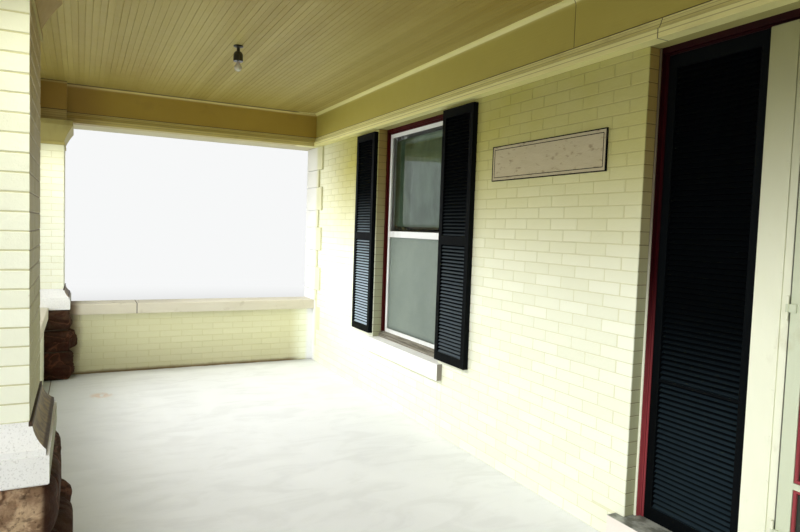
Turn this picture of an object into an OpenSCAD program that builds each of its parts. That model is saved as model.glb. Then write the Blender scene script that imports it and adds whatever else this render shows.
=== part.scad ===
// Front porch of a brick house: floor, brick columns on rock-faced pedestals,
// low walls, entablature, boarded ceiling and hipped roof, against its house wall.
// Millimetres, +Z up, the house at +Y, the origin on the ground at the middle of the box.

/* [Plan] */
// Doorway's centre to the corner columns' centres
corner_x = 6160; // [5600:20:6800]
// Doorway's centre to the entrance columns' centres
entry_x = 1620; // [1560:20:1900]
// House wall's face to the columns' centres
column_y = 2950; // [2600:10:3300]
// Doorway's centre to the window centres
window_x = 3684; // [3400:4:4000]

/* [Base] */
// Height of the stone foundation
foundation_h = 230; // [160:10:400]
// Thickness of the foundation walls
foundation_t = 300; // [260:10:340]
// Thickness of the concrete floor
slab_t = 120; // [90:5:160]
// Floor's edge past the foundation
slab_nose = 30; // [20:5:50]

/* [Pedestals] */
// Height of a pedestal's rough stone
pedestal_h = 700; // [640:10:760]
// Width of a pedestal between its rough faces
pedestal_w = 680; // [640:10:700]
// Rough stone's swell past its joints
rock_swell = 34; // [20:2:40]
// Courses of rough stone in a pedestal
pedestal_courses = 3; // [2:1:4]
// Height of the cap's upright edge
cap_lip = 100; // [70:5:120]
// Height of the cap's hollow slope
cap_wash = 105; // [90:5:150]
// Cap's edge past the column
cap_over = 62; // [50:2:90]

/* [Columns] */
// Width of a brick column
column_w = 580; // [520:10:600]
// Height of the capital's upright top
abacus_h = 50; // [40:5:100]
// Height of the capital's hollow slope
capital_cove = 155; // [110:5:180]
// Height of the band under the slope
necking_h = 28; // [20:2:40]
// Necking's edge past the column
necking_over = 10; // [6:1:16]
// Capital's top past the column
capital_over = 78; // [60:2:110]

/* [Low walls] */
// Thickness of the low walls
low_wall_t = 250; // [220:10:280]
// Coping's top above the pedestals' rough stone
coping_rise = 29; // [20:1:60]
// Thickness of the coping stones
coping_t = 107; // [80:1:120]
// Coping's edge past the brickwork
coping_over = 40; // [30:2:50]
// Length of a coping stone
coping_len = 1330; // [1000:10:1600]

/* [Entablature] */
// Floor to the underside of the beams
soffit_z = 2550; // [2450:10:2700]
// Floor to the ceiling
ceiling_z = 2930; // [2860:10:3100]
// Width of the end beams
beam_w = 400; // [360:10:440]
// Columns' centres to the front beam's inner face
beam_in = 50; // [30:10:150]
// Width of the block over each column
block_w = 630; // [600:10:700]
// Height of the moulding along a beam's lower edge
mould_h = 100; // [80:5:110]
// Moulding's greatest projection
mould_over = 34; // [24:2:40]
// Size of the small cove at the ceiling
cove = 40; // [30:2:50]
// Thickness of the frieze board on the house wall
frieze_t = 40; // [30:2:60]
// Width of a ceiling board
board_w = 83; // [70:1:100]
// Thickness of the ceiling boards
board_t = 20; // [16:1:26]

/* [Roof] */
// Beam's face to the eaves board
eave_over = 380; // [300:10:450]
// Height of the eaves board
eave_h = 140; // [110:5:180]
// Projection of the crown moulding at the eaves
crown_over = 75; // [60:5:90]
// Rise of the roof for each 100 of run
pitch = 27; // [20:1:34]
// Thickness of the roof
roof_t = 60; // [45:5:80]
// House wall above the roof's top
wall_rise = 160; // [100:10:300]

/* [House wall] */
// Thickness of the house wall
wall_t = 300; // [260:10:360]
// Quoins' projection from the wall
quoin_out = 20; // [12:2:26]
// Length of a long quoin
quoin_long = 500; // [460:10:540]
// Length of a short quoin
quoin_short = 390; // [340:10:440]
// Height of one brick course
course = 67.7; // [65:0.1:72]

/* [Window] */
// Width of the window opening
window_w = 1240; // [1120:10:1300]
// Floor to the top of the stone sill
window_sill_z = 565; // [520:5:620]
// Height of the stone sill
stone_sill_h = 130; // [100:5:150]
// Stone sill past each side of the opening
sill_ear = 60; // [40:5:80]
// Stone sill's projection from the wall
sill_out = 45; // [30:5:60]
// Depth of the brick reveal
reveal = 90; // [70:5:110]
// Width of the window's outer trim
window_trim = 50; // [40:2:60]
// Depth of the window frame
frame_depth = 140; // [120:5:160]
// Height of the wooden sill
wood_sill_h = 55; // [40:5:70]
// Width of the storm window's frame
storm_w = 32; // [26:1:40]
// Width of the sashes' bars
sash_w = 45; // [38:1:55]
// Floor to the underside of the meeting rail
meeting_z = 1533; // [1450:1:1600]
// Height of the meeting rail
meeting_h = 51; // [40:1:60]

/* [Shutters] */
// Width of a shutter
shutter_w = 416; // [380:2:440]
// Floor to a shutter's bottom
shutter_z = 600; // [580:5:640]
// Thickness of a shutter
shutter_t = 42; // [34:1:50]
// Width of a shutter's stiles
stile = 45; // [38:1:55]
// Pitch of the louvres
louvre = 26.5; // [20:0.5:36]

/* [Doorway] */
// Width of the doorway in the brickwork
doorway_w = 2320; // [2260:10:2400]
// Height of the door's stone sill
door_sill_h = 150; // [100:5:180]
// Sill's projection from the wall
door_sill_out = 62; // [40:2:80]
// Sill past each side of the doorway
door_sill_ear = 55; // [40:5:80]
// Width of the doorway's outer trim
door_trim = 38; // [30:2:60]
// Width of the boards between the door and a louvred panel
mullion_w = 155; // [130:5:180]
// Door sill to the middle rail of a louvred panel
panel_rail_z = 730; // [600:10:900]
// Width of the door
door_w = 890; // [850:2:900]
// Thickness of the door
door_t = 42; // [36:1:50]
// Width of the door's stiles
door_stile = 72; // [60:2:90]
// Height of the door's bottom rail
door_foot = 150; // [120:5:200]
// Height of the door's top rail
door_head = 90; // [70:5:110]
// Door's bottom to its cross rail
rail_z = 425; // [380:5:700]
// Height of the cross rail
rail_h = 46; // [40:2:60]
// Height of the trim over the doorway
head_h = 40; // [30:5:60]
// Gap around the door
door_gap = 5; // [5:0.5:8]

/* [Lamps] */
// Length of a ceiling lamp with its bulb
lamp_h = 190; // [170:5:240]
// House wall to the lamps
lamp_y = 1470; // [1200:10:1700]
// Radius of the lamp's plate on the ceiling
rose_r = 36; // [30:2:60]
// Length of the lamp holder
socket_h = 115; // [90:5:130]

/* [Hidden] */
$fn = 48;
eps = 1;
floor_z = foundation_h + slab_t;
seat_z = pedestal_h + cap_lip + cap_wash;
cap_half = column_w / 2 + cap_over;
capital_z = soffit_z - abacus_h - capital_cove - necking_h;
coping_z = pedestal_h + coping_rise;
low_wall_h = coping_z - coping_t;
house_half = corner_x + low_wall_t / 2;
beam_out = column_y + beam_w / 2;
eave_y = beam_out + eave_over;
eave_x = corner_x + beam_w / 2 + eave_over;
roof_y = eave_y + crown_over;
roof_x = eave_x + crown_over;
eave_top = ceiling_z + board_t + eave_h;
roof_top = eave_top + roof_t + roof_y * pitch / 100;
wall_top = roof_top + wall_rise;
wall_y = (roof_y - wall_t) / 2;
frieze_z = soffit_z + mould_h;
beam_top = ceiling_z + board_t;
inner_x = corner_x - beam_w / 2;
inner_y = column_y - beam_in;
pedestal_half = pedestal_w / 2;
footing_half = pedestal_half + rock_swell;
post_xs = [-corner_x, -entry_x, entry_x, corner_x];
arc_steps = 6;
rock_step = 95;
chamfer = 6;
slot = 6;
bead = 2.4;
cap_step = 10;
cap_band = 20;
cap_fillet = 15;
cap_sag = 8;
capital_sag = 6;
mould_step = 4;
mould_low = 0.48;
mould_high = 0.88;
mould_sag = 3;
panel_bar = 13;
quoin_pitch = 7 * course;
quoin_tall = 4 * course;
door_half = doorway_w / 2;
panel_w = door_half - door_trim - mullion_w - door_w / 2 - door_gap;
frame_y = reveal;
door_depth = 110;
casing_lead = 15;
casing_step = 8;
panel_t = 50;
panel_set = 62;
panel_y = frame_y + panel_set;
stop_w = 15;
door_top = soffit_z - head_h;
door_lead = 6;
door_face = frame_y - door_lead;
pivot_lead = 10;
pivot_x = -door_w / 2 - door_gap;
pivot_y = door_face - pivot_lead;
knuckle_r = 6;
pin_r = 3;
knuckle_h = 34;
pin_gap = 0.3;
hinge_inset = 230;
hinge_zs = [door_sill_h + hinge_inset, (door_sill_h + door_top) / 2, door_top - hinge_inset];
leaf_w = 30;
leaf_t = 3;
latch_lead = 2;
handle_rise = 850;
handle_z = door_sill_h + handle_rise;
glass_t = 6;
sill_nose = 25;
storm_set = 18;
storm_gap = 3;
storm_y = reveal + storm_set;
storm_t = 30;
sash_gap = 6;
sash_y = storm_y + storm_t + sash_gap;
sash_t = 34;
storm_low = window_sill_z + wood_sill_h;
storm_high = soffit_z - window_trim;
shutter_gap = 2;
shutter_drop = 25;
shutter_top = soffit_z - shutter_drop;

// A point on the wall's face, at floor level, is the zero of everything below
module porch() {
    translate([0, wall_y, floor_z]) children();
}

// A box from its lowest to its highest corner
module block(low, high) {
    translate(low) cube(high - low);
}

// A profile in the XZ plane, pushed along +Y from y0 to y1
module run_y(y0, y1) {
    translate([0, y1, 0]) rotate([90, 0, 0]) linear_extrude(y1 - y0) children();
}

// A profile whose x is distance towards -Y and whose y is height, pushed along +X
module run_x(x0, x1) {
    translate([x0, 0, 0]) rotate([90, 0, -90]) mirror([0, 0, 1]) linear_extrude(x1 - x0) children();
}

// Both mirror images, left and right of the doorway
module pair() {
    children();
    mirror([1, 0, 0]) children();
}

// A square moulded block: the same outline on all four sides, cut to its mitres
module square_moulding(outline) {
    reach = 2 * max([for (p = outline) abs(p[0])]) + eps;
    intersection() {
        run_y(-reach, reach) polygon(outline);
        rotate([0, 0, 90]) run_y(-reach, reach) polygon(outline);
    }
}

// An outline from its two sides, each given for x > 0 and from the bottom up
function two_sides(right, left) =
    concat(right, [for (i = [len(left) - 1:-1:0]) [-left[i][0], left[i][1]]]);
function both_sides(half) = two_sides(half, half);

// A slope that sags towards the stone by a depth at its middle
function hollow(low, high, sag) =
    let (run = high - low, inward = [-run[1], run[0]] / norm(run))
    [for (i = [0:arc_steps]) let (t = i / arc_steps) low + t * run + 4 * sag * t * (1 - t) * inward];

// A small fixed number from 0 to 1 for a place in the stonework
function chance(i, j) = let (v = sin(i * 127.1 + j * 311.7) * 43758.5) v - floor(v);

// A plan point turned about the middle
function turn(p, a) = [p[0] * cos(a) - p[1] * sin(a), p[0] * sin(a) + p[1] * cos(a)];

// How far rough stone stands out at step i along a side, in ring k from the bottom
function rock_out(side, i, k, seed) =
    let (row = floor((k - 1) / 4), f = (k - 1) % 4, head = (i + 2 * row + seed + side) % 5 == 0)
    k == 0 || f == 3 || i == 0 || head ? 0
        : rock_swell * ((f == 1 ? 0.55 : 0.3) + 0.45 * chance(i + 20 * side + seed, k));

// Square pier of stone in equal courses, rough on all four sides
module rough_pier(half, height, courses, seed) {
    steps = round(2 * half / rock_step);
    n = 4 * steps;
    tall = height / courses;
    levels = concat([0], [for (c = [0:courses - 1]) for (f = [0.12, 0.5, 0.88, 1]) (c + f) * tall]);
    top = len(levels) - 1;
    polyhedron(
        points = concat(
            [for (k = [0:top]) for (side = [0:3]) for (i = [0:steps - 1])
                [each turn([2 * half * i / steps - half, -half - rock_out(side, i, k, seed)], 90 * side),
                    levels[k]]],
            [[0, 0, 0], [0, 0, height]]),
        faces = concat(
            [for (i = [0:n - 1]) [(top + 1) * n, i, (i + 1) % n]],
            [for (i = [0:n - 1]) [(top + 1) * n + 1, top * n + (i + 1) % n, top * n + i]],
            [for (k = [0:top - 1]) for (i = [0:n - 1]) let (j = (i + 1) % n)
                each [[k * n + i, (k + 1) * n + i, (k + 1) * n + j],
                    [k * n + i, (k + 1) * n + j, k * n + j]]]),
        convexity = 6);
}

// Stone wall under the floor's edges, wider under the pedestals
module foundation() {
    half = foundation_t / 2;
    color("rosybrown") porch() translate([0, 0, -floor_z]) linear_extrude(foundation_h) {
        difference() {
            translate([-corner_x - half, -column_y - half]) square([2 * (corner_x + half), column_y + half]);
            translate([-corner_x + half, -column_y + half]) square([2 * (corner_x - half), column_y]);
        }
        for (x = post_xs) translate([x, -column_y]) square(2 * footing_half, center = true);
    }
}

module floor_slab() {
    edge_x = corner_x + foundation_t / 2 + rock_swell + slab_nose;
    edge_y = column_y + foundation_t / 2 + rock_swell + slab_nose;
    post = footing_half + slab_nose;
    color("gainsboro") porch() translate([0, 0, -slab_t]) linear_extrude(slab_t) union() {
        translate([-edge_x, -edge_y]) square([2 * edge_x, edge_y]);
        for (x = post_xs) translate([x, -column_y]) square(2 * post, center = true);
    }
}

// Brick wall from the ground up, on the left of the doorway
module wall_side() {
    difference() {
        union() {
            block([-house_half, 0, -floor_z], [-door_half, wall_t, wall_top]);
            quoins();
        }
        block([-window_x - window_w / 2, -eps, window_sill_z],
            [-window_x + window_w / 2, wall_t + eps, soffit_z]);
        block([-window_x - window_w / 2 - sill_ear, -eps, window_sill_z - stone_sill_h],
            [-window_x + window_w / 2 + sill_ear, reveal, window_sill_z]);
        block([-window_x - window_w / 2, reveal - eps, window_sill_z - stone_sill_h],
            [-window_x + window_w / 2, reveal + frame_depth, window_sill_z + eps]);
    }
}

// Raised corner stones between the coping and the beam, long and short in turn
module quoins() {
    count = ceil((soffit_z - coping_z) / quoin_pitch);
    for (i = [0:count - 1]) {
        long_top = soffit_z - i * quoin_pitch;
        short_top = long_top - quoin_tall;
        quoin(quoin_long, max(coping_z, short_top), long_top);
        if (short_top > coping_z + chamfer)
            quoin(quoin_short, max(coping_z, long_top - quoin_pitch), short_top);
    }
}

module quoin(length, low, high) {
    gap = slot / 2;
    if (high - low > 4 * slot)
        block([-house_half - quoin_out, -quoin_out, low + gap],
            [-house_half + length, wall_t / 2, high - gap]);
}

module wall_left() {
    color("khaki") porch() wall_side();
}

module wall_right() {
    color("khaki") porch() mirror([1, 0, 0]) wall_side();
}

// Brickwork over the doorway and under its sill
module wall_door() {
    color("khaki") porch() {
        block([-door_half, 0, soffit_z], [door_half, wall_t, wall_top]);
        block([-door_half, 0, -floor_z], [door_half, wall_t, 0]);
    }
}

// Pedestal number n from the left, cut where the low walls run into it
module pedestal(n) {
    color("sienna") porch() difference() {
        translate([post_xs[n - 1], -column_y, 0])
            rough_pier(pedestal_half, pedestal_h, pedestal_courses, n);
        low_wall_room();
    }
}

// Space that the low walls and their copings take
module low_wall_room() {
    for (part = [[low_wall_t / 2, 0, low_wall_h], [low_wall_t / 2 + coping_over, low_wall_h, coping_z]])
        pair() {
            block([-corner_x + pedestal_half, -column_y - part[0], part[1]],
                [-entry_x - pedestal_half, -column_y + part[0], part[2]]);
            block([-corner_x - part[0], -column_y + pedestal_half, part[1]],
                [-corner_x + part[0], 0, part[2]]);
        }
}

// Cap stone: an upright edge, a small step, a hollow slope and a fillet round the column
module pedestal_cap(n) {
    lip_z = pedestal_h + cap_lip;
    fillet_z = seat_z - cap_fillet;
    inner = column_w / 2 + cap_step;
    outline = both_sides(concat([[cap_half - chamfer, pedestal_h], [cap_half, pedestal_h + chamfer],
        [cap_half, lip_z], [cap_half - cap_step, lip_z]],
        hollow([cap_half - cap_step, lip_z + cap_band], [inner, fillet_z], cap_sag),
        [[inner, seat_z]]));
    color("whitesmoke") porch() difference() {
        translate([post_xs[n - 1], -column_y, 0]) square_moulding(outline);
        low_wall_room();
    }
}

// Brick shaft with its flared capital
module column(n) {
    half = column_w / 2;
    top = half + capital_over;
    neck = capital_z + necking_h;
    outline = both_sides(concat([[half, seat_z], [half, capital_z], [half + necking_over, capital_z],
        [half + necking_over, neck]],
        hollow([half, neck], [top, neck + capital_cove], capital_sag),
        [[top, soffit_z]]));
    color("khaki") porch() translate([post_xs[n - 1], -column_y, 0]) square_moulding(outline);
}

module front_low_walls() {
    color("khaki") porch() pair()
        block([-corner_x + pedestal_half, -column_y - low_wall_t / 2, 0],
            [-entry_x - pedestal_half, -column_y + low_wall_t / 2, low_wall_h]);
}

module end_low_walls() {
    color("khaki") porch() pair()
        block([-corner_x - low_wall_t / 2, -column_y + pedestal_half, 0],
            [-corner_x + low_wall_t / 2, 0, low_wall_h]);
}

// Coping outline, across the wall: a slight fall to both sides
function coping_outline() = both_sides([
    [low_wall_t / 2 + coping_over, low_wall_h],
    [low_wall_t / 2 + coping_over, coping_z - chamfer],
    [low_wall_t / 2 + coping_over - chamfer, coping_z]]);

module front_copings() {
    start = corner_x - pedestal_half;
    stop = entry_x + pedestal_half;
    color("white") porch() pair() difference() {
        translate([0, -column_y, 0]) run_x(-start, -stop) polygon(coping_outline());
        for (x = [-start + coping_len:coping_len:-stop - eps])
            block([x - slot / 2, -2 * column_y, coping_z - slot], [x + slot / 2, 0, coping_z + eps]);
    }
}

module end_copings() {
    color("white") porch() pair() difference() {
        translate([-corner_x, 0, 0]) run_y(-column_y + pedestal_half, 0) polygon(coping_outline());
        for (y = [-column_y + pedestal_half + coping_len / 2:coping_len:-eps])
            block([-2 * corner_x, y - slot / 2, coping_z - slot], [0, y + slot / 2, coping_z + eps]);
    }
}

// Side of a beam from its lower edge up: flat band, hollow, fillet, groove, frieze, ceiling cove
function beam_side(face) =
    let (low = soffit_z + mould_low * mould_h, high = soffit_z + mould_high * mould_h,
        lip = face + 2 * mould_step)
    concat(
        [[face + mould_over, soffit_z], [face + mould_over, low]],
        hollow([face + mould_over - mould_step, low], [lip + mould_step, high], mould_sag),
        [[lip, high], [lip, frieze_z], [face - slot, frieze_z],
            [face - slot, frieze_z + slot], [face, frieze_z + slot], [face, ceiling_z - cove]],
        [for (i = [1:arc_steps]) let (a = 90 * i / arc_steps)
            [face + cove * (1 - cos(a)), ceiling_z - cove + cove * sin(a)]],
        [[face, ceiling_z], [face, beam_top]]);

// Boxed block over a column, with a groove level with the beams'
module beam_block(x) {
    half = block_w / 2;
    cut = half - slot;
    difference() {
        block([x - half, -column_y - half, soffit_z], [x + half, -column_y + half, ceiling_z]);
        difference() {
            block([x - half - eps, -column_y - half - eps, frieze_z],
                [x + half + eps, -column_y + half + eps, frieze_z + slot]);
            block([x - cut, -column_y - cut, soffit_z], [x + cut, -column_y + cut, ceiling_z]);
        }
    }
}

module beam_front() {
    half = beam_w / 2;
    color("darkkhaki") porch() {
        for (x = post_xs) beam_block(x);
        for (i = [0:2])
            translate([0, -column_y, 0])
                run_x(post_xs[i] + block_w / 2, post_xs[i + 1] - block_w / 2)
                    polygon(two_sides(beam_side(half), beam_side(beam_in)));
        block([-corner_x - half, -column_y - half, ceiling_z - eps],
            [corner_x + half, -inner_y, beam_top]);
        pair() block([-corner_x - half, -column_y, ceiling_z - eps],
            [-corner_x + half, -column_y + block_w / 2, beam_top]);
    }
}

module end_beam() {
    translate([-corner_x, 0, 0]) run_y(-column_y + block_w / 2, 0)
        polygon(both_sides(beam_side(beam_w / 2)));
}

module beam_left() {
    color("darkkhaki") porch() end_beam();
}

module beam_right() {
    color("darkkhaki") porch() mirror([1, 0, 0]) end_beam();
}

// Entablature on the house wall, coped to the end beams
module wall_frieze() {
    color("darkkhaki") porch() difference() {
        run_x(-inner_x, inner_x) polygon(concat([[0, soffit_z]], beam_side(frieze_t), [[0, beam_top]]));
        pair() end_beam();
    }
}

// Beaded boards that run along the porch
module ceiling() {
    back = frieze_t;
    span = inner_y - back;
    count = floor((span - 2 * bead) / board_w);
    color("burlywood") porch() run_x(-inner_x, inner_x) polygon(concat(
        [[back, beam_top], [back, ceiling_z]],
        [for (i = [1:count]) let (y = back + i * board_w, mid = y - board_w / 2)
            each [[mid - bead, ceiling_z], [mid, ceiling_z + bead], [mid + bead, ceiling_z],
                [y - bead, ceiling_z], [y, ceiling_z + 1.5 * bead], [y + bead, ceiling_z]]],
        [[inner_y, ceiling_z], [inner_y, beam_top]]));
}

// Outer edge of the eaves from the soffit up, past the beam's face
function eave_edge(top) = concat(
    [[eave_over, ceiling_z], [eave_over, eave_top - crown_over]],
    [for (i = [1:arc_steps]) let (t = i / arc_steps)
        [eave_over + crown_over * (0.5 - 0.5 * cos(180 * t)), eave_top - crown_over * (1 - t)]],
    [[eave_over + crown_over, top]]);

// Solid under the eaves: the same edge on the front and on both ends, mitred
module cornice_mass(top) {
    intersection() {
        run_x(-roof_x, roof_x) polygon(concat([[0, top], [0, ceiling_z]],
            [for (p = eave_edge(top)) [beam_out + p[0], p[1]]]));
        run_y(-roof_y, 0) polygon(both_sides(
            [for (p = eave_edge(top)) [corner_x + beam_w / 2 + p[0], p[1]]]));
    }
}

// Eaves on three sides: soffit boards, upright boards and a crown moulding up to the roof,
// and the board on the house wall that carries the rafters
module cornice() {
    board = 2 * board_t;
    color("khaki") porch() difference() {
        intersection() {
            cornice_mass(roof_top);
            under_roof(eave_top, 0);
        }
        block([-corner_x - beam_w / 2, -beam_out, 0], [corner_x + beam_w / 2, eps, beam_top]);
        block([-eave_x + board, -eave_y + board, beam_top], [eave_x - board, -board, roof_top]);
    }
}

// Space under one pitch on three sides, from base at the eaves, widened by a margin
module under_roof(base, margin) {
    fall = margin * pitch / 100;
    intersection() {
        run_x(-roof_x - margin, roof_x + margin) polygon([[-margin, 0], [roof_y + margin, 0],
            [roof_y + margin, base - fall], [-margin, base + roof_y * pitch / 100 + fall]]);
        run_y(-roof_y - margin, margin) polygon([[-roof_x - margin, 0], [roof_x + margin, 0],
            [roof_x + margin, base - fall], [0, base + roof_x * pitch / 100],
            [-roof_x - margin, base - fall]]);
    }
}

// Hipped roof against the wall
module roof() {
    color("dimgray") porch() difference() {
        under_roof(eave_top + roof_t, 0);
        under_roof(eave_top, eps);
    }
}

// Everything of a window is drawn about its own centre
module at_window(side) {
    porch() translate([side * window_x, 0, 0]) children();
}

// Upright rectangular frame between two depths
module frame(half, low, high, edge, y0, y1) {
    difference() {
        block([-half, y0, low], [half, y1, high]);
        block([-half + edge, y0 - eps, low + edge], [half - edge, y1 + eps, high - edge]);
    }
}

// Wooden sill, across the window: a nose over the stone and a slope up to the storm window
function wood_sill() = [[-reveal + sill_nose, window_sill_z],
    [-reveal + sill_nose, window_sill_z + wood_sill_h / 2], [-storm_y, storm_low],
    [-reveal - frame_depth, storm_low], [-reveal - frame_depth, window_sill_z]];

module window_frame(side) {
    half = window_w / 2;
    inner = half - window_trim;
    rebate = 0.4 * window_trim;
    color("maroon") at_window(side) {
        difference() {
            block([-half, reveal, window_sill_z], [half, reveal + frame_depth, soffit_z]);
            block([-inner, reveal - eps, window_sill_z - eps],
                [inner, reveal + frame_depth + eps, storm_high]);
            block([-inner - rebate, reveal - eps, window_sill_z - eps],
                [inner + rebate, storm_y - storm_gap, storm_high + rebate]);
        }
        run_x(-half, half) polygon(wood_sill());
    }
}

module window_storm(side) {
    half = window_w / 2 - window_trim;
    color("white") at_window(side) {
        frame(half, storm_low, storm_high, storm_w, storm_y, storm_y + storm_t);
        block([-half + eps, storm_y, meeting_z], [half - eps, storm_y + storm_t, meeting_z + meeting_h]);
    }
}

// Upper sash on the outer track, lower sash on the inner one
module window_sashes() {
    half = window_w / 2 - window_trim;
    color("maroon") for (side = [-1, 1]) at_window(side) {
        frame(half, meeting_z, storm_high, sash_w, sash_y, sash_y + sash_t);
        frame(half, storm_low, meeting_z + meeting_h, sash_w, sash_y + sash_t, sash_y + 2 * sash_t);
    }
}

// A pane in the middle of a frame that lies between two depths
module pane(half, low, high, y0, y1) {
    mid = (y0 + y1) / 2;
    block([-half, mid - glass_t / 2, low], [half, mid + glass_t / 2, high]);
}

module window_glass() {
    half = window_w / 2 - window_trim;
    color("lightblue", 0.5) for (side = [-1, 1]) at_window(side) {
        pane(half - storm_w, storm_low + storm_w, meeting_z, storm_y, storm_y + storm_t);
        pane(half - storm_w, meeting_z + meeting_h, storm_high - storm_w, storm_y, storm_y + storm_t);
        pane(half - sash_w, meeting_z + sash_w, storm_high - sash_w, sash_y, sash_y + sash_t);
        pane(half - sash_w, storm_low + sash_w, meeting_z + meeting_h - sash_w,
            sash_y + sash_t, sash_y + 2 * sash_t);
    }
}

module window_sills() {
    half = window_w / 2;
    color("white") for (side = [-1, 1]) at_window(side) {
        block([-half - sill_ear, -sill_out, window_sill_z - stone_sill_h],
            [half + sill_ear, reveal, window_sill_z]);
        block([-half, reveal - eps, window_sill_z - stone_sill_h],
            [half, reveal + frame_depth, window_sill_z]);
    }
}

// Louvred panel: solid back, slats that slope down and out, stiles, two rails and a middle bar
module louvred(width, z0, z1, mid, bar, thick) {
    rail = 1.5 * stile;
    slats = function (low, high) let (n = round((high - low) / louvre), step = (high - low) / n)
        concat([[0.25 * thick, low]],
            [for (i = [0:n - 1]) each [[0.85 * thick, low + i * step + 0.15 * step],
                [0.35 * thick, low + (i + 1) * step]]],
            [[0.25 * thick, high], [0, high], [0, low]]);
    run_x(-width / 2 + stile, width / 2 - stile) {
        polygon(slats(z0 + rail, mid - bar / 2));
        polygon(slats(mid + bar / 2, z1 - rail));
    }
    for (side = [-1, 1])
        block([side * (width / 2 - stile / 2) - stile / 2, -thick, z0],
            [side * (width / 2 - stile / 2) + stile / 2, 0, z1]);
    for (z = [[z0, z0 + rail], [mid - bar / 2, mid + bar / 2], [z1 - rail, z1]])
        block([-width / 2 + stile - eps, -thick, z[0]], [width / 2 - stile + eps, 0, z[1]]);
}

module shutters(side) {
    reach = window_w / 2 + shutter_gap + shutter_w / 2;
    color("darkslategray") at_window(side) for (x = [-reach, reach])
        translate([x, 0, 0])
            louvred(shutter_w, shutter_z, shutter_top, meeting_z, 1.5 * stile, shutter_t);
}

module door_sill() {
    color("whitesmoke") porch() {
        block([-door_half - door_sill_ear, -door_sill_out, 0],
            [door_half + door_sill_ear, 0, door_sill_h]);
        block([-door_half, -eps, 0], [door_half, wall_t, door_sill_h]);
    }
}

// Two-step trim inside the brick reveal
module door_casing() {
    step = door_trim / 2;
    color("maroon") porch() difference() {
        block([-door_half, frame_y - casing_lead, door_sill_h], [door_half, frame_y + door_depth, soffit_z]);
        block([-door_half + door_trim, 0, door_sill_h - eps], [door_half - door_trim, wall_t, door_top]);
        block([-door_half + step, 0, door_sill_h - eps],
            [door_half - step, frame_y + casing_step, door_top + step / 2]);
    }
}

// Boards beside the door with a grooved edge, thinner behind the louvres, and the door's stops
module door_mullions() {
    inner = door_w / 2 + door_gap;
    back = frame_y + door_depth;
    stop_y = door_face + door_t + door_gap;
    color("ivory") porch() {
        pair() {
            difference() {
                block([-inner - mullion_w, frame_y, door_sill_h], [-inner, back, door_top]);
                block([-inner - leaf_w - slot, frame_y - eps, door_sill_h - eps],
                    [-inner - leaf_w, frame_y + slot, door_top + eps]);
            }
            block([-door_half + door_trim, panel_y, door_sill_h],
                [-inner - mullion_w, panel_y + board_t, door_top]);
            block([-inner - eps, stop_y, door_sill_h], [-inner + stop_w, back, door_top]);
        }
        block([-inner, stop_y, door_top - stop_w], [inner, back, door_top]);
    }
}

module door_louvres() {
    color("darkslategray") porch() pair()
        translate([-door_half + door_trim + panel_w / 2, panel_y, 0])
            louvred(panel_w, door_sill_h, door_top, door_sill_h + panel_rail_z, panel_bar, panel_t);
}

// Heights of the door's two panes, each from its bottom to its top
function door_lights() =
    let (low = door_sill_h + door_gap)
    [[low + door_foot, low + rail_z], [low + rail_z + rail_h, door_top - door_gap - door_head]];

// Glazed door with a cross rail; its middle knuckles turn on the hinge pins
module storm_door() {
    half = door_w / 2;
    glazed = half - door_stile;
    step = 10;
    color("ivory") porch() {
        difference() {
            block([-half, door_face, door_sill_h + door_gap],
                [half - latch_lead, door_face + door_t, door_top - door_gap]);
            for (light = door_lights()) {
                block([-glazed, 0, light[0]], [glazed, wall_t, light[1]]);
                block([-glazed - step, 0, light[0] - step],
                    [glazed + step, door_face + step, light[1] + step]);
            }
        }
        for (z = hinge_zs) {
            difference() {
                knuckle(z, knuckle_r, knuckle_h);
                knuckle(z, pin_r + pin_gap, 2 * knuckle_h);
            }
            block([pivot_x + pin_r + 1, pivot_y, z - knuckle_h / 2],
                [-half + leaf_w, door_face, z + knuckle_h / 2]);
        }
    }
}

module door_glass() {
    glazed = door_w / 2 - door_stile;
    color("lightblue", 0.5) porch() for (light = door_lights())
        pane(glazed, light[0], light[1], door_face, door_face + door_t);
}

// A pull on the outside and on the inside of the door, each on its plate
module door_handle() {
    x = door_w / 2 - door_stile / 2;
    plate_w = 36;
    plate_h = 170;
    grip_out = 38;
    grip_r = 7;
    color("goldenrod") porch() for (face = [[door_face, -1], [door_face + door_t, 1]])
        translate([x, face[0], handle_z]) mirror([0, 1 - face[1], 0]) {
            block([-plate_w / 2, 0, -plate_h / 2], [plate_w / 2, leaf_t, plate_h / 2]);
            for (z = [-plate_h / 3, plate_h / 3])
                translate([0, 0, z]) rotate([-90, 0, 0]) cylinder(r = grip_r, h = grip_out);
            translate([0, grip_out, -plate_h / 3 - grip_r])
                cylinder(r = grip_r, h = 2 * (plate_h / 3 + grip_r));
        }
}

// A round piece on the hinge line, about a height
module knuckle(z, r, h) {
    translate([pivot_x, pivot_y, z - h / 2]) cylinder(r = r, h = h);
}

// Outer knuckles, pins and leaves on the frame
module door_hinges() {
    color("goldenrod") porch() for (z = hinge_zs) {
        knuckle(z, pin_r, 3 * knuckle_h);
        for (end = [-1, 1]) {
            mid = z + end * (knuckle_h + pin_gap);
            knuckle(mid, knuckle_r, knuckle_h);
            block([pivot_x - knuckle_r, pivot_y, mid - knuckle_h / 2],
                [pivot_x - pin_r, frame_y, mid + knuckle_h / 2]);
            block([pivot_x - leaf_w, frame_y - leaf_t, mid - knuckle_h / 2],
                [pivot_x - pin_r, frame_y, mid + knuckle_h / 2]);
        }
    }
}

module at_lamps() {
    porch() for (side = [-1, 1]) translate([side * window_x, -lamp_y, ceiling_z]) children();
}

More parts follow.
